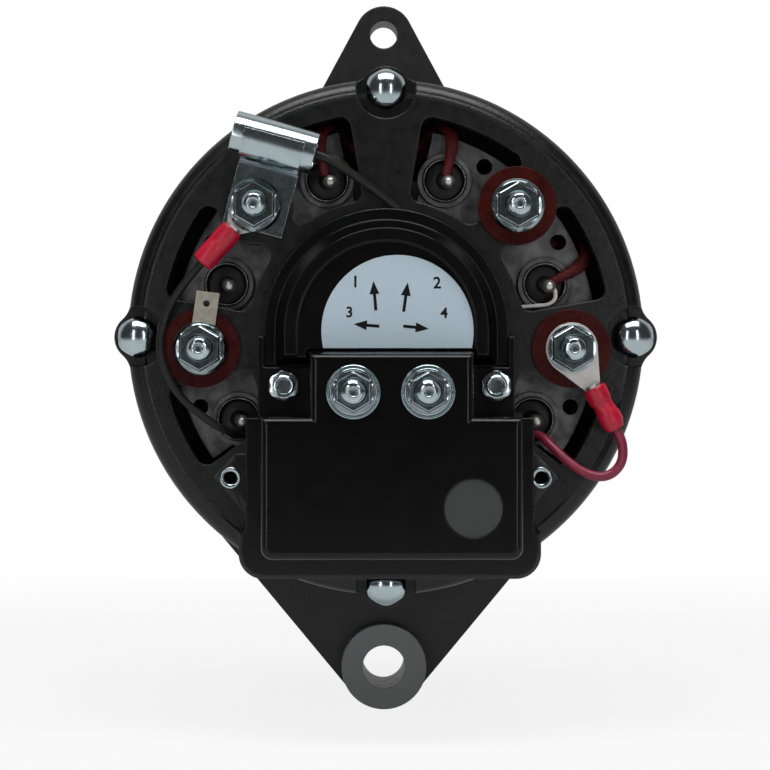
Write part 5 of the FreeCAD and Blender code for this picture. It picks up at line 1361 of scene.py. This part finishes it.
@dataclass
class Windings(SubAssembly):
    """Stator core with its end turns and the sleeved phase leads.

    A phase lead has a side and its diode's bearing in degrees. Its stations are each a distance from the axis,
    a place along it and a turn in degrees before the diode is reached.
    """

    core_start: float = 35.0
    core_end: float = 65.0
    overhang: float = 13.5
    inner: float = 48.2
    outer: float = 56.8
    wires: int = 54
    wire_ridge: float = 0.45
    wire_sag: float = 0.2
    sag_waves: tuple[int, int] = (7, 3)
    points_a_wire: int = 12
    section_sides: int = 22
    squareness: float = 0.6
    lead_half_width: float = 2.1
    lead_half_thickness: float = 1.3
    lead_bearings: Rows = ((1, 69.5), (1, 18.5), (-1, 69.5))
    lead_stations: tuple[Point, ...] = (
        (52.5, 79.9, 14.0), (55.5, 79.9, 9.0), (61.0, 82.5, 6.0), (60.2, 88.7, 3.0), (56.0, 91.8, 1.2),
        (47.9, 91.8, 0.0))
    lead_bend: float = 9.0
    lead_fullness: float = 0.7
    lead_sides: int = 28

    def finishes(self) -> dict[str, Finishes]:
        """Varnished laminations."""
        return {"stator_core": Finishes.LAMINATIONS}

    def phase_leads(self) -> None:
        """Lay three flattened braided sleeves from the end turns round the heat sinks to the diodes.

        The section is an ellipse, wide about the axis, that draws in to a round at both ends: the half width
        grows from the half thickness by sin(pi s)^fullness, with s the share of the way.
        """
        leads = Shape()
        angles = turn_angles(self.lead_sides)
        thin = self.lead_half_thickness
        for side, bearing in self.lead_bearings:
            reach, level, drift = np.array(self.lead_stations).T
            turn = np.radians(bearing + drift)
            route = np.stack([side * reach * np.cos(turn), reach * np.sin(turn), level], -1)
            path = rounded(route, self.lead_bend, 9)
            ahead = np.gradient(path, axis=0)
            ahead /= np.linalg.norm(ahead, axis=1, keepdims=True)
            about = np.cross(path * (1, 1, 0), (0, 0, 1))
            about -= ahead * (about * ahead).sum(1, keepdims=True)
            about /= np.linalg.norm(about, axis=1, keepdims=True)
            swell = np.sin(math.pi * np.linspace(0, 1, len(path))[:, None]) ** self.lead_fullness
            wide = (thin + (self.lead_half_width - thin) * swell) * np.cos(angles)
            out = np.cross(ahead, about)[:, None] * (thin * np.sin(angles))[..., None]
            grid = path[:, None] + wide[..., None] * about[:, None] + out
            ends = path[[0, -1]][:, None] + np.zeros_like(grid[[0, -1]])
            leads.add(np.concatenate([ends[:1], grid, ends[1:]]))
        leads.build("braided_phase_leads", Finishes.BRAID, ("phase_leads",), crease=60)

    def pieces(self) -> None:
        """Lay the phase leads and the end turns, a ring of squarish section with ridges that slant across it.

        The section is a superellipse, half width |cos a|^squareness and half height |sin a|^squareness with
        their signs. A ridge |sin(wires t + 2 a)| stands out along it at each angle t about the axis, and a
        sag sin(7 t + 3 a) keeps it from being quite even.
        """
        turns = Shape()
        around = turn_angles(self.points_a_wire * self.wires)[0][:, None]
        section = turn_angles(self.section_sides)
        ridge, square = self.wire_ridge, self.squareness
        half_width, half_height = (self.outer - self.inner) / 2 - ridge, self.overhang / 2
        cosine, sine = np.cos(section), np.sin(section)
        sag = self.wire_sag * np.sin(self.sag_waves[0] * around + self.sag_waves[1] * section)
        stand = ridge * np.abs(np.sin(self.wires * around + 2 * section)) + sag
        across = (half_width + stand) * np.sign(cosine) * np.abs(cosine) ** square
        deep = (half_height + square * stand) * np.sign(sine) * np.abs(sine) ** square
        radius = (self.inner + self.outer) / 2 + across
        for middle in (self.core_start - self.overhang / 2, self.core_end + self.overhang / 2):
            grid = np.broadcast_arrays(radius * np.cos(around), radius * np.sin(around), middle + deep)
            turns.add(np.stack(grid, -1), looped=True)
        turns.build("end_turns", Finishes.ENAMEL, ("stator_windings",), crease=60)
        self.phase_leads()


@dataclass
class RotorParts(SubAssembly):
    """Everything that turns inside the housings, and the slip rings."""

    def finishes(self) -> dict[str, Finishes]:
        """Machined steel, wound wire, copper rings.

        Returns:
            The finish of each node.
        """
        steel = ("shaft", "front_claw_pole", "rear_claw_pole", "pulley_key")
        return {**dict.fromkeys(steel, Finishes.MACHINED), "field_coil": Finishes.ENAMEL,
                "slip_rings": Finishes.COPPER, "coil_bobbin": Finishes.MOULDED,
                "slip_ring_sleeve": Finishes.MOULDED}


@dataclass
class Brushes(SubAssembly):
    """Carbon brushes on their springs."""

    def finishes(self) -> dict[str, Finishes]:
        """Carbon, and plated wire."""
        return {"brush_a": Finishes.CARBON, "brush_b": Finishes.CARBON, "brush_spring_a": Finishes.ZINC,
                "brush_spring_b": Finishes.ZINC}


@dataclass
class DriveEnd(SubAssembly):
    """Fan, spacer, belt pulley, the shaft's nut and the thread that shows beyond it."""

    thread_start: float = -46.8
    thread_length: float = 2.8
    thread_radius: float = 8.0
    thread_depth: float = 0.54
    thread_pitch: float = 1.5
    core_radius: float = 7.0
    thread_rows: int = 26
    thread_sides: int = 72

    def finishes(self) -> dict[str, Finishes]:
        """Zinc plate on the fan and the nut, machined steel on the pulley."""
        return {"fan": Finishes.ZINC, "fan_spacer": Finishes.MACHINED, "pulley": Finishes.MACHINED,
                "lock_washer": Finishes.ZINC, "pulley_nut": Finishes.ZINC}

    def pieces(self) -> None:
        """Lay a thread round the shaft's end: its radius falls by a rounded groove that climbs once a turn."""
        angles = turn_angles(self.thread_sides)
        heights = np.linspace(0, self.thread_length, self.thread_rows)[:, None]
        core = np.full_like(angles, self.core_radius)
        thread = threaded(self.thread_radius, self.thread_depth, self.thread_pitch, heights, angles)
        line = Line((0.0, 0.0, self.thread_start), (0.0, 0.0, -1.0))
        grid = line.around(np.concatenate([core, thread, core]), angles,
                           np.concatenate([heights[:1], heights, heights[-1:]]))
        Shape().add(grid, looped=True).build("shaft_thread", Finishes.MACHINED, crease=50, body=ROTOR_BODY)


def main() -> None:
    """Build the studio and the sub-assemblies in order."""
    logging.basicConfig(level=logging.INFO, format="%(message)s")
    Studio().build()
    for group in (Leads, Castings, FrameBolts, Terminals, Regulator, Cover, Capacitor, DiodeBridge, Windings,
                  RotorParts, Brushes, DriveEnd):
        group().build()


if __name__ == "__main__":
    main()
